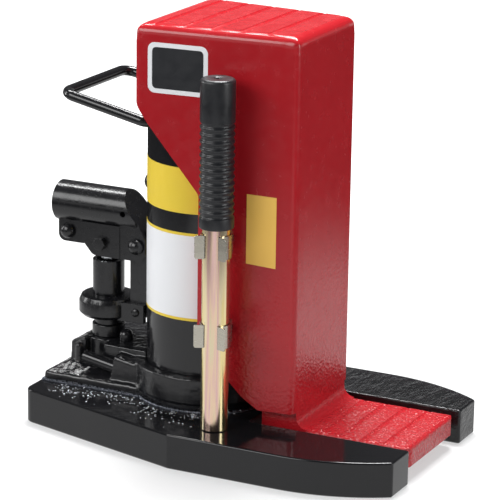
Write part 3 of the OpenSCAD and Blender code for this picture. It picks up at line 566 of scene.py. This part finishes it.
def weld_steel():
    """Weld metal under a thin coat: the enamel runs off its ripples, so the steel glints through."""
    return finish_of("weld_steel", lambda: plated_steel("Thinly enamelled weld", "#55585f", 0.26))


def spatter_steel():
    return finish_of("spatter_steel", lambda: plated_steel("Weld spatter worn bright", "#c4c8ce", 0.22))


def seal_rubber():
    return finish_of("seal_rubber", lambda: grip_rubber(bpy.context.scene.jack_colours))


class JackOperator:
    """What the operators share"""

    bl_options = {"REGISTER", "UNDO"}


class JACK_OT_base_plate(JackOperator, bpy.types.Operator):
    """Rounds the flame-cut plate's edges and enamels it"""

    bl_idname = "jack.base_plate"
    bl_label = "Base Plate"

    def execute(self, context):
        finish = plate_enamel(context.scene.jack_colours)
        dress_node("base_plate", finish, "base", 1.5 * MM, 4, 25)
        return {"FINISHED"}


def lumpy(point, size):
    """Noise at a point, from -1 to 1, with lumps of a size in metres."""
    return noise.noise(point / size, noise_basis="PERLIN_ORIGINAL")


class JACK_OT_jack_casting(JackOperator, bpy.types.Operator):
    """Turns the jack's base into a sand casting with blended corners and a rough skin"""

    bl_idname = "jack.jack_casting"
    bl_label = "Jack Casting"

    def execute(self, context):
        sizes = context.scene.jack_sizes
        bm = cad_copy("jack_base")
        piece = add_piece("jack_base_casting", bm, "base", black_cast())
        remesh = piece.modifiers.new("Sand mould", "REMESH")
        remesh.mode = "VOXEL"
        remesh.voxel_size = sizes.cast_voxel
        soften = piece.modifiers.new("Blended corners", "SMOOTH")
        soften.factor = 0.5
        soften.iterations = 6
        applied_modifiers(piece)
        mesh = piece.data
        bm = bmesh.new()
        bm.from_mesh(mesh)
        bm.normal_update()
        for vert in bm.verts:
            across = math.hypot(vert.co.x, vert.co.y)
            inside = across < TUBE_R + 0.5 * MM and vert.co.z > BLOCK_LOW.z + 12 * MM
            if inside or vert.co.z < BLOCK_LOW.z + 0.5 * MM:
                continue
            lying = max(0.0, vert.normal.z) ** 2
            relief = sizes.cast_relief * (0.35 + 0.9 * lying)
            height = lumpy(vert.co, 2.6 * MM) * 0.6 + lumpy(vert.co, 7 * MM) * 0.7
            vert.co += vert.normal * relief * height
        bm.to_mesh(mesh)
        bm.free()
        for polygon in mesh.polygons:
            polygon.use_smooth = True
        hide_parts("jack_base")
        return {"FINISHED"}


def add_ripple(bm, centre, along, radius, rise):
    """One ripple of a weld bead: a flattened half ball set across the run."""
    drop = bmesh.ops.create_icosphere(bm, subdivisions=1, radius=1.0)["verts"]
    frame_matrix = along.to_track_quat("X", "Z").to_matrix().to_4x4()
    size = Matrix.Diagonal((radius * 0.75, radius, rise, 1.0))
    bmesh.ops.transform(bm, matrix=Matrix.Translation(centre) @ frame_matrix @ size, verts=drop)


def weld_run(bm, start, end, point_at, pitch, radius, rng):
    """Ripples along a path given by a function of the distance along it."""
    count = max(2, int((end - start) / pitch))
    for i in range(count + 1):
        distance = start + (end - start) * i / count
        here, ahead = point_at(distance), point_at(distance + 0.1 * MM)
        swell = radius * rng.uniform(0.88, 1.12)
        wander = Vector((rng.uniform(-1, 1), rng.uniform(-1, 1), 0)) * radius * 0.1
        add_ripple(bm, here + wander, (ahead - here).normalized(), swell, swell * 0.8)


def straight(a, b):
    """Path function of a straight run, and its length."""
    a, b = Vector(a), Vector(b)
    length = (b - a).length
    return (lambda distance: a + (b - a) * (distance / length)), length


def round_the_flange(radius, z):
    """Path function of a run round the ram axis, distance measured from +X towards +Y."""
    return lambda distance: Vector(
        (radius * math.cos(distance / radius), radius * math.sin(distance / radius), z)
    )


class JACK_OT_welds(JackOperator, bpy.types.Operator):
    """Lays the weld beads round the jack's foot and the spatter on the plate"""

    bl_idname = "jack.welds"
    bl_label = "Welds and Spatter"

    def execute(self, context):
        sizes = context.scene.jack_sizes
        rng = random.Random(7)
        z = PLATE_TOP + 0.3 * MM
        half_w = 37.5 * MM
        flange_foot = 2.5 * MM
        rear_x = BLOCK_LOW.x
        flange_r = BLOCK_HIGH.x - flange_foot
        block_front_x = -math.sqrt(flange_r ** 2 - half_w ** 2)
        bm = bmesh.new()
        runs = [
            ((rear_x, -half_w, z), (block_front_x, -half_w, z)),
            ((rear_x, half_w, z), (block_front_x, half_w, z)),
            ((rear_x, -half_w, z), (rear_x, half_w, z)),
        ]
        for a, b in runs:
            point_at, length = straight(a, b)
            weld_run(bm, 0.0, length, point_at, sizes.bead_pitch, sizes.bead_radius, rng)
        ring_r = flange_r + 0.8 * MM
        reach = ring_r * (math.pi - math.asin(half_w / ring_r))
        weld_run(
            bm, -reach, reach, round_the_flange(ring_r, z), sizes.bead_pitch, sizes.bead_radius, rng
        )
        add_piece("weld_beads", bm, "base", weld_steel(), 60)
        self.spatter(sizes, rng, half_w, flange_r)
        return {"FINISHED"}

    def spatter(self, sizes, rng, half_w, flange_r):
        """Drops thrown from the weld, thick beside it and thinning outwards."""
        bm = bmesh.new()
        plate_rear_x, plate_run = 116 * MM, 134 * MM
        edge_rear, edge_widening = 57 * MM, 34 * MM
        made = 0
        while made < sizes.spatter_count:
            x = rng.uniform(-100 * MM, 40 * MM)
            side = -1 if rng.random() < 0.75 else 1
            foot = half_w if x < -35 * MM else math.sqrt(max(0.0, flange_r ** 2 - x * x))
            away = 3.0 * MM + abs(rng.gauss(0.0, 12.0 * MM))
            y = side * (foot + away)
            edge = edge_rear + edge_widening * (x + plate_rear_x) / plate_run
            clear_of_handle = math.hypot(x - HANDLE_X, y - HANDLE_Y) > TUBE_HANDLE_R + 3 * MM
            if abs(y) > edge or not clear_of_handle:
                continue
            radius = rng.uniform(0.35, 0.85) * MM
            drop = bmesh.ops.create_icosphere(bm, subdivisions=2, radius=radius)["verts"]
            squash = Matrix.Diagonal((1.0, rng.uniform(0.8, 1.1), 0.75, 1.0))
            spot = Matrix.Translation((x, y, PLATE_TOP + 0.15 * radius))
            bmesh.ops.transform(bm, matrix=spot @ squash, verts=drop)
            made += 1
        add_piece("weld_spatter", bm, "base", spatter_steel(), 80)


class JACK_OT_reservoir(JackOperator, bpy.types.Operator):
    """Finishes the reservoir tube, its top nut and its filler plug"""

    bl_idname = "jack.reservoir"
    bl_label = "Reservoir"

    def execute(self, context):
        edge = context.scene.jack_sizes.edge_radius
        dress_node("reservoir_tube", black_smooth(), "base", edge, 3, 60)
        dress_node("top_nut", black_smooth(), "base", edge, 3, 60)
        dress_node("filler_plug", black_forged(), "base", 0.4 * MM, 2, 40)
        paint_node("rod_wiper", seal_rubber())
        paint_node("inner_cylinder", machined_steel())
        return {"FINISHED"}


def wrapped_patch(bm, centre_deg, half_deg, low_z, high_z, radius, thickness):
    """A thin patch wrapped round the reservoir between two heights."""
    columns = max(8, int(half_deg))
    made = bmesh.ops.create_grid(bm, x_segments=columns, y_segments=8, size=1.0)["verts"]
    for vert in made:
        angle = math.radians(centre_deg + half_deg * vert.co.x)
        height = low_z + (high_z - low_z) * (vert.co.y + 1) / 2
        vert.co = Vector((radius * math.cos(angle), radius * math.sin(angle), height))
    faces = list({f for v in made for f in v.link_faces})
    bmesh.ops.recalc_face_normals(bm, faces=faces)
    if faces[0].normal.dot(faces[0].calc_center_median() * Vector((1, 1, 0))) < 0:
        bmesh.ops.reverse_faces(bm, faces=faces)
    bmesh.ops.solidify(bm, geom=faces, thickness=thickness)


def side_patch(bm, corners, corner_radius, lift, thickness):
    """A thin patch on the head's slanting near side, from its (x, z) corners."""
    verts = [bm.verts.new((x, -head_half_w(x) - lift, z)) for x, z in corners]
    face = bm.faces.new(verts)
    bm.normal_update()
    if face.normal.y > 0:
        bmesh.ops.reverse_faces(bm, faces=[face])
    if corner_radius:
        bmesh.ops.bevel(
            bm, geom=verts, offset=corner_radius, affect="VERTICES", segments=6, profile=0.5, material=-1
        )
    bmesh.ops.solidify(bm, geom=list(bm.faces), thickness=thickness)


class JACK_OT_labels(JackOperator, bpy.types.Operator):
    """Sticks the blank yellow and white labels on the reservoir and the head"""

    bl_idname = "jack.labels"
    bl_label = "Labels"

    def execute(self, context):
        sizes, colours = context.scene.jack_sizes, context.scene.jack_colours
        yellow = label_vinyl("Yellow label vinyl", tuple(colours.label_yellow))
        white = label_vinyl("White label vinyl", tuple(colours.label_white))
        amber = label_vinyl("Amber label vinyl", tuple(colours.label_amber))
        dark = label_vinyl("Black label vinyl", srgb("#26272a"))
        thick = sizes.label_thickness
        radius = TUBE_R + thick
        middle, half = -118.0, 55.0
        band = bmesh.new()
        wrapped_patch(band, middle, half, 167.3 * MM, 199.5 * MM, radius, thick)
        add_piece("yellow_band_label", band, "base", yellow, 60)
        ground = bmesh.new()
        wrapped_patch(ground, middle - 2, half - 2, 90 * MM, 153.5 * MM, radius, thick)
        add_piece("white_label_border", ground, "base", yellow, 60)
        panel = bmesh.new()
        border = 2.0 * MM
        border_deg = math.degrees(border / radius)
        wrapped_patch(
            panel, middle - 2, half - 2 - border_deg, 90 * MM + border, 153.5 * MM - border,
            radius + thick / 2, thick,
        )
        add_piece("white_label_panel", panel, "base", white, 60)
        self.head_labels(amber, white, dark, thick)
        return {"FINISHED"}

    def head_labels(self, amber, white, dark, thick):
        """The upright amber label and the plain plate above the handle, both blank."""
        upright = bmesh.new()
        rear, front = 52.6 * MM, 74.2 * MM
        corners = [
            (rear, 139.8 * MM), (front, 138.4 * MM), (front, 188.4 * MM), (rear, 188.8 * MM),
        ]
        side_patch(upright, corners, 0.0, thick, thick)
        add_piece("upright_amber_label", upright, "head", amber, 60)
        for name, finish, inset, radius, lift in (
            ("badge_plate", white, 0.0, 5 * MM, thick),
            ("badge_field", dark, 3.2 * MM, 3 * MM, 1.6 * thick),
        ):
            patch = bmesh.new()
            low, high = 252.5 * MM + inset, 287.5 * MM - inset
            rear, front = -21 * MM + inset, 23 * MM - inset
            corners = [(rear, low), (front, low), (front, high), (rear, high)]
            side_patch(patch, corners, radius, lift, thick)
            add_piece(name, patch, "head", finish, 60)


class JACK_OT_ram(JackOperator, bpy.types.Operator):
    """Finishes the ram, its piston and the valve balls"""

    bl_idname = "jack.ram"
    bl_label = "Ram"

    def execute(self, context):
        paint_node("ram", ground_steel())
        paint_node("piston", machined_steel())
        paint_node("piston_packing", seal_rubber())
        paint_node("valve_ball", machined_steel())
        paint_node("check_balls", machined_steel())
        return {"FINISHED"}


def soften_corner(bm, corner, inwards, reach=12.5 * MM, step=1.25 * MM, rounds=30):
    """Works over a corner where three rounded edges meet, so that it is a ball and not a mitre."""
    axes = [Vector((1, 0, 0)), Vector((0, 1, 0)), Vector((0, 0, 1))]

    def depth(point, axis):
        return (point[axis] - corner[axis]) * inwards[axis]

    def near(face):
        return all(min(depth(v.co, a) for v in face.verts) < reach + step / 2 for a in range(3))

    for layer in range(round(reach / step), 0, -1):
        for axis in range(3):
            faces = [f for f in bm.faces if near(f)]
            edges = {e for f in faces for e in f.edges}
            verts = {v for f in faces for v in f.verts}
            plane = corner + axes[axis] * inwards[axis] * (layer * step)
            bmesh.ops.bisect_plane(
                bm, geom=[*faces, *edges, *verts], plane_co=plane, plane_no=axes[axis], dist=0.0005 * MM
            )
    inside = [v for v in bm.verts if all(depth(v.co, a) < reach - 0.1 * MM for a in range(3))]
    for _ in range(rounds):
        bmesh.ops.smooth_vert(
            bm, verts=inside, factor=0.5, use_axis_x=True, use_axis_y=True, use_axis_z=True
        )


class JACK_OT_head(JackOperator, bpy.types.Operator):
    """Rounds and paints the head casting with its toe"""

    bl_idname = "jack.head"
    bl_label = "Head and Toe"

    def execute(self, context):
        bm = cad_copy("head_casting")
        for x in (HEAD_FRONT_X, HEAD_REAR_X):
            for side in (-1, 1):
                corner = Vector((x, side * head_half_w(x), HEAD_HIGH.z))
                inwards = Vector((-1 if x > 0 else 1, -side, -1))
                soften_corner(bm, corner, inwards)
        round_edges(bm, 1.2 * MM, 3, 40)
        piece = add_piece("head_casting_finished", bm, "head", red())
        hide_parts("head_casting")
        even_shading(piece)
        return {"FINISHED"}


class JACK_OT_carry_handle(JackOperator, bpy.types.Operator):
    """Finishes the carry handle and welds it to the reservoir"""

    bl_idname = "jack.carry_handle"
    bl_label = "Carry Handle"

    def execute(self, context):
        rng = random.Random(11)
        paint_node("carry_handle", black_smooth())
        bar_r = 3.75 * MM
        ripples = 14
        bm = bmesh.new()
        for side in (-1, 1):
            x = CARRY_HIGH.x - bar_r
            y = side * math.sqrt(TUBE_R ** 2 - x * x)
            outwards = Vector((x, y, 0)).normalized()
            z = CARRY_LOW.z + bar_r
            across = outwards.cross(UP)
            for i in range(ripples):
                turn = 2 * math.pi * i / ripples
                offset = (across * math.cos(turn) + UP * math.sin(turn)) * bar_r * 1.15
                centre = Vector((x, y, z)) + offset + outwards * 0.6 * MM
                tangent = (UP * math.cos(turn) - across * math.sin(turn)).normalized()
                swell = 2.4 * MM * rng.uniform(0.8, 1.2)
                add_ripple(bm, centre, tangent, swell, swell * 0.8)
        add_piece("carry_handle_welds", bm, "base", black_smooth(), 60)
        return {"FINISHED"}


class JACK_OT_pump(JackOperator, bpy.types.Operator):
    """Finishes the pump cylinder, its nut, plunger and the small screw beside it"""

    bl_idname = "jack.pump"
    bl_label = "Pump"

    def execute(self, context):
        edge = context.scene.jack_sizes.edge_radius
        for node in ("pump_cylinder", "pump_nut"):
            dress_node(node, black_forged(), "base", edge, 3, 60)
        dress_node("overload_cap", black_forged(), "base", 0.4 * MM, 2, 40)
        dress_node("pump_plunger", ground_steel(), "plunger", 0.5 * MM, 2, 50)
        for node in ("plunger_bolt", "plunger_bolt_nut"):
            dress_node(node, black_forged(), "plunger", 0.35 * MM, 2, 40)
        paint_node("plunger_seal", seal_rubber())
        paint_node("ring_circlip", machined_steel())
        return {"FINISHED"}


class JACK_OT_linkage(JackOperator, bpy.types.Operator):
    """Finishes the swivel ring, the link and their pins"""

    bl_idname = "jack.linkage"
    bl_label = "Linkage"

    def execute(self, context):
        edge = context.scene.jack_sizes.edge_radius
        dress_node("swivel_ring", black_forged(), "bracket", edge, 3, 25)
        dress_node("link", black_forged(), "link_arm", edge, 3, 60)
        dress_node("link_lower_pin", black_forged(), "bracket", 0.3 * MM, 2, 40)
        return {"FINISHED"}


class JACK_OT_lever(JackOperator, bpy.types.Operator):
    """Finishes the lever socket and the two domed pins in it"""

    bl_idname = "jack.lever"
    bl_label = "Lever Socket"

    def execute(self, context):
        dress_node("lever_socket", black_forged(), "lever", 0.8 * MM, 3, 30)
        for node in ("link_upper_pin", "ear_pin"):
            dress_node(node, black_forged(), "lever", 0.5 * MM, 2, 40)
        return {"FINISHED"}


class JACK_OT_release_valve(JackOperator, bpy.types.Operator):
    """Finishes the release valve's spindle"""

    bl_idname = "jack.release_valve"
    bl_label = "Release Valve"

    def execute(self, context):
        dress_node("release_valve", black_smooth(), "valve", 0.6 * MM, 3, 40)
        return {"FINISHED"}


class JACK_OT_handle(JackOperator, bpy.types.Operator):
    """Plates the handle tube and moulds its ribbed grip"""

    bl_idname = "jack.handle"
    bl_label = "Stored Handle"

    def execute(self, context):
        sizes, colours = context.scene.jack_sizes, context.scene.jack_colours
        dress_node("handle_tube", yellow_chromate(colours), "handle", 0.3 * MM, 2, 60)
        grip = lathe(self.grip_profile(sizes))
        place(grip, Matrix.Translation((HANDLE_X, HANDLE_Y, 0)))
        rubber = finish_of("grip", lambda: grip_rubber(colours))
        piece = add_piece("ribbed_grip", grip, "handle", rubber, 50)
        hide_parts("handle_grip")
        return {"FINISHED"}

    def grip_profile(self, sizes):
        """Collar, rings and smooth upper part of the grip, from its mouth up to the top hole."""
        low, high = GRIP_LOW.z, GRIP_HIGH.z
        bore, hole, valley = TUBE_HANDLE_R, 2.5 * MM, GRIP_R - 0.95 * MM
        collar, pitch, cap = 8 * MM, 4.85 * MM, 9 * MM
        points = [(hole, high - cap), (bore, high - cap), (bore, low)]
        points += arc_points((GRIP_R - 0.8 * MM, low + 0.8 * MM), 0.8 * MM, -90, 0, 5)
        points += arc_points((GRIP_R - 0.6 * MM, low + collar - 0.6 * MM), 0.6 * MM, 0, 80, 4)
        for i in range(sizes.grip_ribs):
            z = low + collar + (i + 0.25) * pitch
            points.append((valley, z))
            points += arc_points((GRIP_R - 1.5 * MM, z + pitch / 2), 1.5 * MM, -62, 62, 8)
            points.append((valley, z + pitch))
        top = low + collar + (sizes.grip_ribs + 0.4) * pitch
        points += arc_points((GRIP_R - 0.8 * MM, top + 0.8 * MM), 0.8 * MM, -60, 0, 4)
        points += arc_points((GRIP_R - 2.4 * MM, high - 2.4 * MM), 2.4 * MM, 0, 90, 8)
        points += [(hole + 0.6 * MM, high), (hole, high - 0.6 * MM), (hole, high - cap)]
        return points


class JACK_OT_clips(JackOperator, bpy.types.Operator):
    """Finishes the two spring clips, their spacers and screws"""

    bl_idname = "jack.clips"
    bl_label = "Spring Clips"

    def execute(self, context):
        bm = cad_copy("spring_clips")
        sheet = 0.9 * MM
        corners = [
            e for e in bm.edges
            if len(e.link_faces) == 2
            and abs(e.calc_length() - sheet) < 0.04 * MM
            and e.calc_face_angle() > math.radians(60)
            and max(abs(f.normal.z) for f in e.link_faces) > 0.9
        ]
        bmesh.ops.bevel(
            bm, geom=corners, offset=1.5 * MM, affect="EDGES", segments=5, profile=0.5, material=-1,
            clamp_overlap=True,
        )
        round_edges(bm, 0.2 * MM, 2, 40)
        piece = add_piece("spring_clips_finished", bm, "head", bright_steel())
        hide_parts("spring_clips")
        even_shading(piece)
        # The spacers' black enamel also stands in for painted shade behind the clip's lip.
        dress_node("clip_spacers", black_forged(), "head", 0.4 * MM, 2, 50)
        paint_node("clip_screws", machined_steel())
        return {"FINISHED"}


def direct_rays(tree):
    """1 for the camera's own rays and for those let through glass, and the glossy rays' mask."""
    path = add_node(tree, "ShaderNodeLightPath").outputs
    direct = maths(tree, "MAXIMUM", path["Is Camera Ray"], path["Is Transmission Ray"])
    return direct, path["Is Glossy Ray"]


def stage_plane(name, size, z):
    """A level square of the stage, which is no part of the jack."""
    bm = bmesh.new()
    bmesh.ops.create_grid(bm, x_segments=1, y_segments=1, size=size)
    mesh = bpy.data.meshes.new(name)
    bm.to_mesh(mesh)
    bm.free()
    plane = bpy.data.objects.new(name, mesh)
    plane.location.z = z
    bpy.context.scene.collection.objects.link(plane)
    return plane


def softbox(name, place_at, look_at, size_x, size_y, power):
    """A white rectangular studio lamp, its power in watts."""
    data = bpy.data.lights.new(name, "AREA")
    data.shape = "RECTANGLE"
    data.size, data.size_y = size_x, size_y
    data.energy = power
    lamp = bpy.data.objects.new(name, data)
    lamp.location = place_at
    lamp.rotation_mode = "QUATERNION"
    lamp.rotation_quaternion = (Vector(look_at) - Vector(place_at)).to_track_quat("-Z", "Y")
    bpy.context.scene.collection.objects.link(lamp)


class JACK_OT_stage(JackOperator, bpy.types.Operator):
    """Sets the pale floor, the soft studio light and the camera"""

    bl_idname = "jack.stage"
    bl_label = "Stage, Light and Camera"

    def execute(self, context):
        self.floor()
        self.world(context.scene)
        self.lamps()
        self.camera(context.scene)
        context.scene.view_settings.view_transform = "Standard"
        return {"FINISHED"}

    def floor(self):
        """A pale floor that is white to the camera but for the object's shadow. In reflections
        it is a lit sweep round the jack that fades to a dark studio, longer ahead of it."""
        plane = stage_plane("floor", 8.0, -0.2 * MM)
        finish, tree, shader = new_finish("Studio floor")
        shader.inputs["Base Color"].default_value = srgb("#9c9c9c")
        shader.inputs["Roughness"].default_value = 0.9
        distance = add_node(
            tree, "ShaderNodeVectorMath", {"operation": "LENGTH"}, {0: object_coords(tree)}
        ).outputs["Value"]
        direct, glossy = direct_rays(tree)
        glow = maths(tree, "MULTIPLY", mapped(tree, distance, 0.25, 0.9, 0.5, 1.0), direct)
        shine = add_node(
            tree, "ShaderNodeEmission", inputs={"Color": srgb("#ffffff"), "Strength": glow}
        )
        lit = add_node(
            tree, "ShaderNodeAddShader", inputs={0: shader.outputs[0], 1: shine.outputs[0]}
        )
        sweep_turn = math.radians(-72.5)
        stretched = add_node(
            tree,
            "ShaderNodeMapping",
            {"vector_type": "TEXTURE"},
            {
                "Vector": object_coords(tree),
                "Rotation": (0, 0, sweep_turn),
                "Scale": (1.67, 0.67, 1.0),
            },
        ).outputs[0]
        reach = add_node(
            tree, "ShaderNodeVectorMath", {"operation": "LENGTH"}, {0: stretched}
        ).outputs["Value"]
        around = mapped(tree, distance, 0.36, 0.72, 0.9, 0.04)
        ahead = mapped(tree, reach, 0.42, 0.68, 0.9, 0.04)
        sweep = add_node(
            tree,
            "ShaderNodeEmission",
            inputs={"Color": srgb("#ffffff"), "Strength": maths(tree, "MAXIMUM", around, ahead)},
        )
        both = add_node(
            tree, "ShaderNodeMixShader", inputs={0: glossy, 1: lit.outputs[0], 2: sweep.outputs[0]}
        )
        tree.links.new(both.outputs[0], tree.nodes["Material Output"].inputs["Surface"])
        plane.data.materials.append(finish)

    def world(self, scene):
        """Dim soft sky for the light; white behind the object, and a low white backdrop with a
        dark studio above it for the reflections."""
        scene.world = scene.world or bpy.data.worlds.new("Studio")
        scene.world.use_nodes = True
        tree = scene.world.node_tree
        tree.nodes.clear()
        direct, glossy = direct_rays(tree)
        direction = add_node(tree, "ShaderNodeTexCoord").outputs["Generated"]
        height = add_node(tree, "ShaderNodeSeparateXYZ", inputs={"Vector": direction}).outputs["Z"]
        backdrop = mapped(tree, height, 0.02, 0.17, 1.0, 0.06)
        seen = maths(tree, "MAXIMUM", direct, maths(tree, "MULTIPLY", glossy, backdrop))
        any_seen = maths(tree, "MAXIMUM", direct, glossy)
        soft = add_node(
            tree, "ShaderNodeBackground", inputs={"Color": srgb("#e8ebf0"), "Strength": 0.4}
        )
        white = add_node(
            tree, "ShaderNodeBackground", inputs={"Color": srgb("#ffffff"), "Strength": seen}
        )
        both = add_node(
            tree, "ShaderNodeMixShader", inputs={0: any_seen, 1: soft.outputs[0], 2: white.outputs[0]}
        )
        add_node(tree, "ShaderNodeOutputWorld", inputs={"Surface": both.outputs[0]})

    def lamps(self):
        middle = (0.03, 0.0, 0.15)
        softbox("Rear strip", (-0.66, 0.6, 1.5), middle, 0.9, 0.12, 12)
        softbox("Top softbox", (-0.05, 0.45, 1.6), middle, 0.6, 0.5, 44)
        softbox("Front softbox", (-0.8, -1.53, 1.15), middle, 1.35, 0.9, 22)
        softbox("Left softbox", (-1.6, -0.3, 0.6), middle, 0.3, 1.0, 7)
        softbox("Right softbox", (1.7, -0.2, 0.6), middle, 0.5, 1.0, 12)

    def camera(self, scene):
        """The photograph's view: place, direction and roll, all in the part's own frame."""
        azimuth, elevation, roll = (math.radians(a) for a in (26.216, 16.14, 0.874))
        back = Vector((
            math.sin(azimuth) * math.cos(elevation),
            -math.cos(azimuth) * math.cos(elevation),
            math.sin(elevation),
        ))
        right = (-back).cross(UP).normalized()
        up = right.cross(-back)
        cam_x = right * math.cos(roll) + up * math.sin(roll)
        cam_y = up * math.cos(roll) - right * math.sin(roll)
        data = bpy.data.cameras.new("Camera")
        data.lens = 194.74
        data.sensor_width = 36.0
        camera = bpy.data.objects.new("Camera", data)
        turn = Matrix((cam_x, cam_y, back)).transposed().to_4x4()
        camera.matrix_world = Matrix.Translation((0.8378, -1.6373, 0.6622)) @ turn
        scene.collection.objects.link(camera)
        scene.camera = camera


class JACK_PT_panel(bpy.types.Panel):
    """Lists the jack's pieces"""

    bl_label = "Toe Jack"
    bl_idname = "JACK_PT_panel"
    bl_space_type = "VIEW_3D"
    bl_region_type = "UI"
    bl_category = "Toe Jack"

    def draw(self, context):
        layout = self.layout
        for group in (context.scene.jack_sizes, context.scene.jack_colours):
            column = layout.column()
            for name in group.__annotations__:
                column.prop(group, name)
        for operator in OPERATORS:
            layout.operator(operator.bl_idname)


OPERATORS = (
    JACK_OT_base_plate,
    JACK_OT_jack_casting,
    JACK_OT_welds,
    JACK_OT_reservoir,
    JACK_OT_labels,
    JACK_OT_ram,
    JACK_OT_head,
    JACK_OT_carry_handle,
    JACK_OT_pump,
    JACK_OT_linkage,
    JACK_OT_lever,
    JACK_OT_release_valve,
    JACK_OT_handle,
    JACK_OT_clips,
    JACK_OT_stage,
)
CLASSES = (JackSizes, JackColours, *OPERATORS, JACK_PT_panel)


def register():
    for cls in CLASSES:
        bpy.utils.register_class(cls)
    bpy.types.Scene.jack_sizes = PointerProperty(type=JackSizes)
    bpy.types.Scene.jack_colours = PointerProperty(type=JackColours)


def unregister():
    del bpy.types.Scene.jack_colours
    del bpy.types.Scene.jack_sizes
    for cls in reversed(CLASSES):
        bpy.utils.unregister_class(cls)


def main():
    register()
    bpy.ops.jack.base_plate()
    bpy.ops.jack.jack_casting()
    bpy.ops.jack.welds()
    bpy.ops.jack.reservoir()
    bpy.ops.jack.labels()
    bpy.ops.jack.ram()
    bpy.ops.jack.head()
    bpy.ops.jack.carry_handle()
    bpy.ops.jack.pump()
    bpy.ops.jack.linkage()
    bpy.ops.jack.lever()
    bpy.ops.jack.release_valve()
    bpy.ops.jack.handle()
    bpy.ops.jack.clips()
    bpy.ops.jack.stage()


if __name__ == "__main__":
    main()
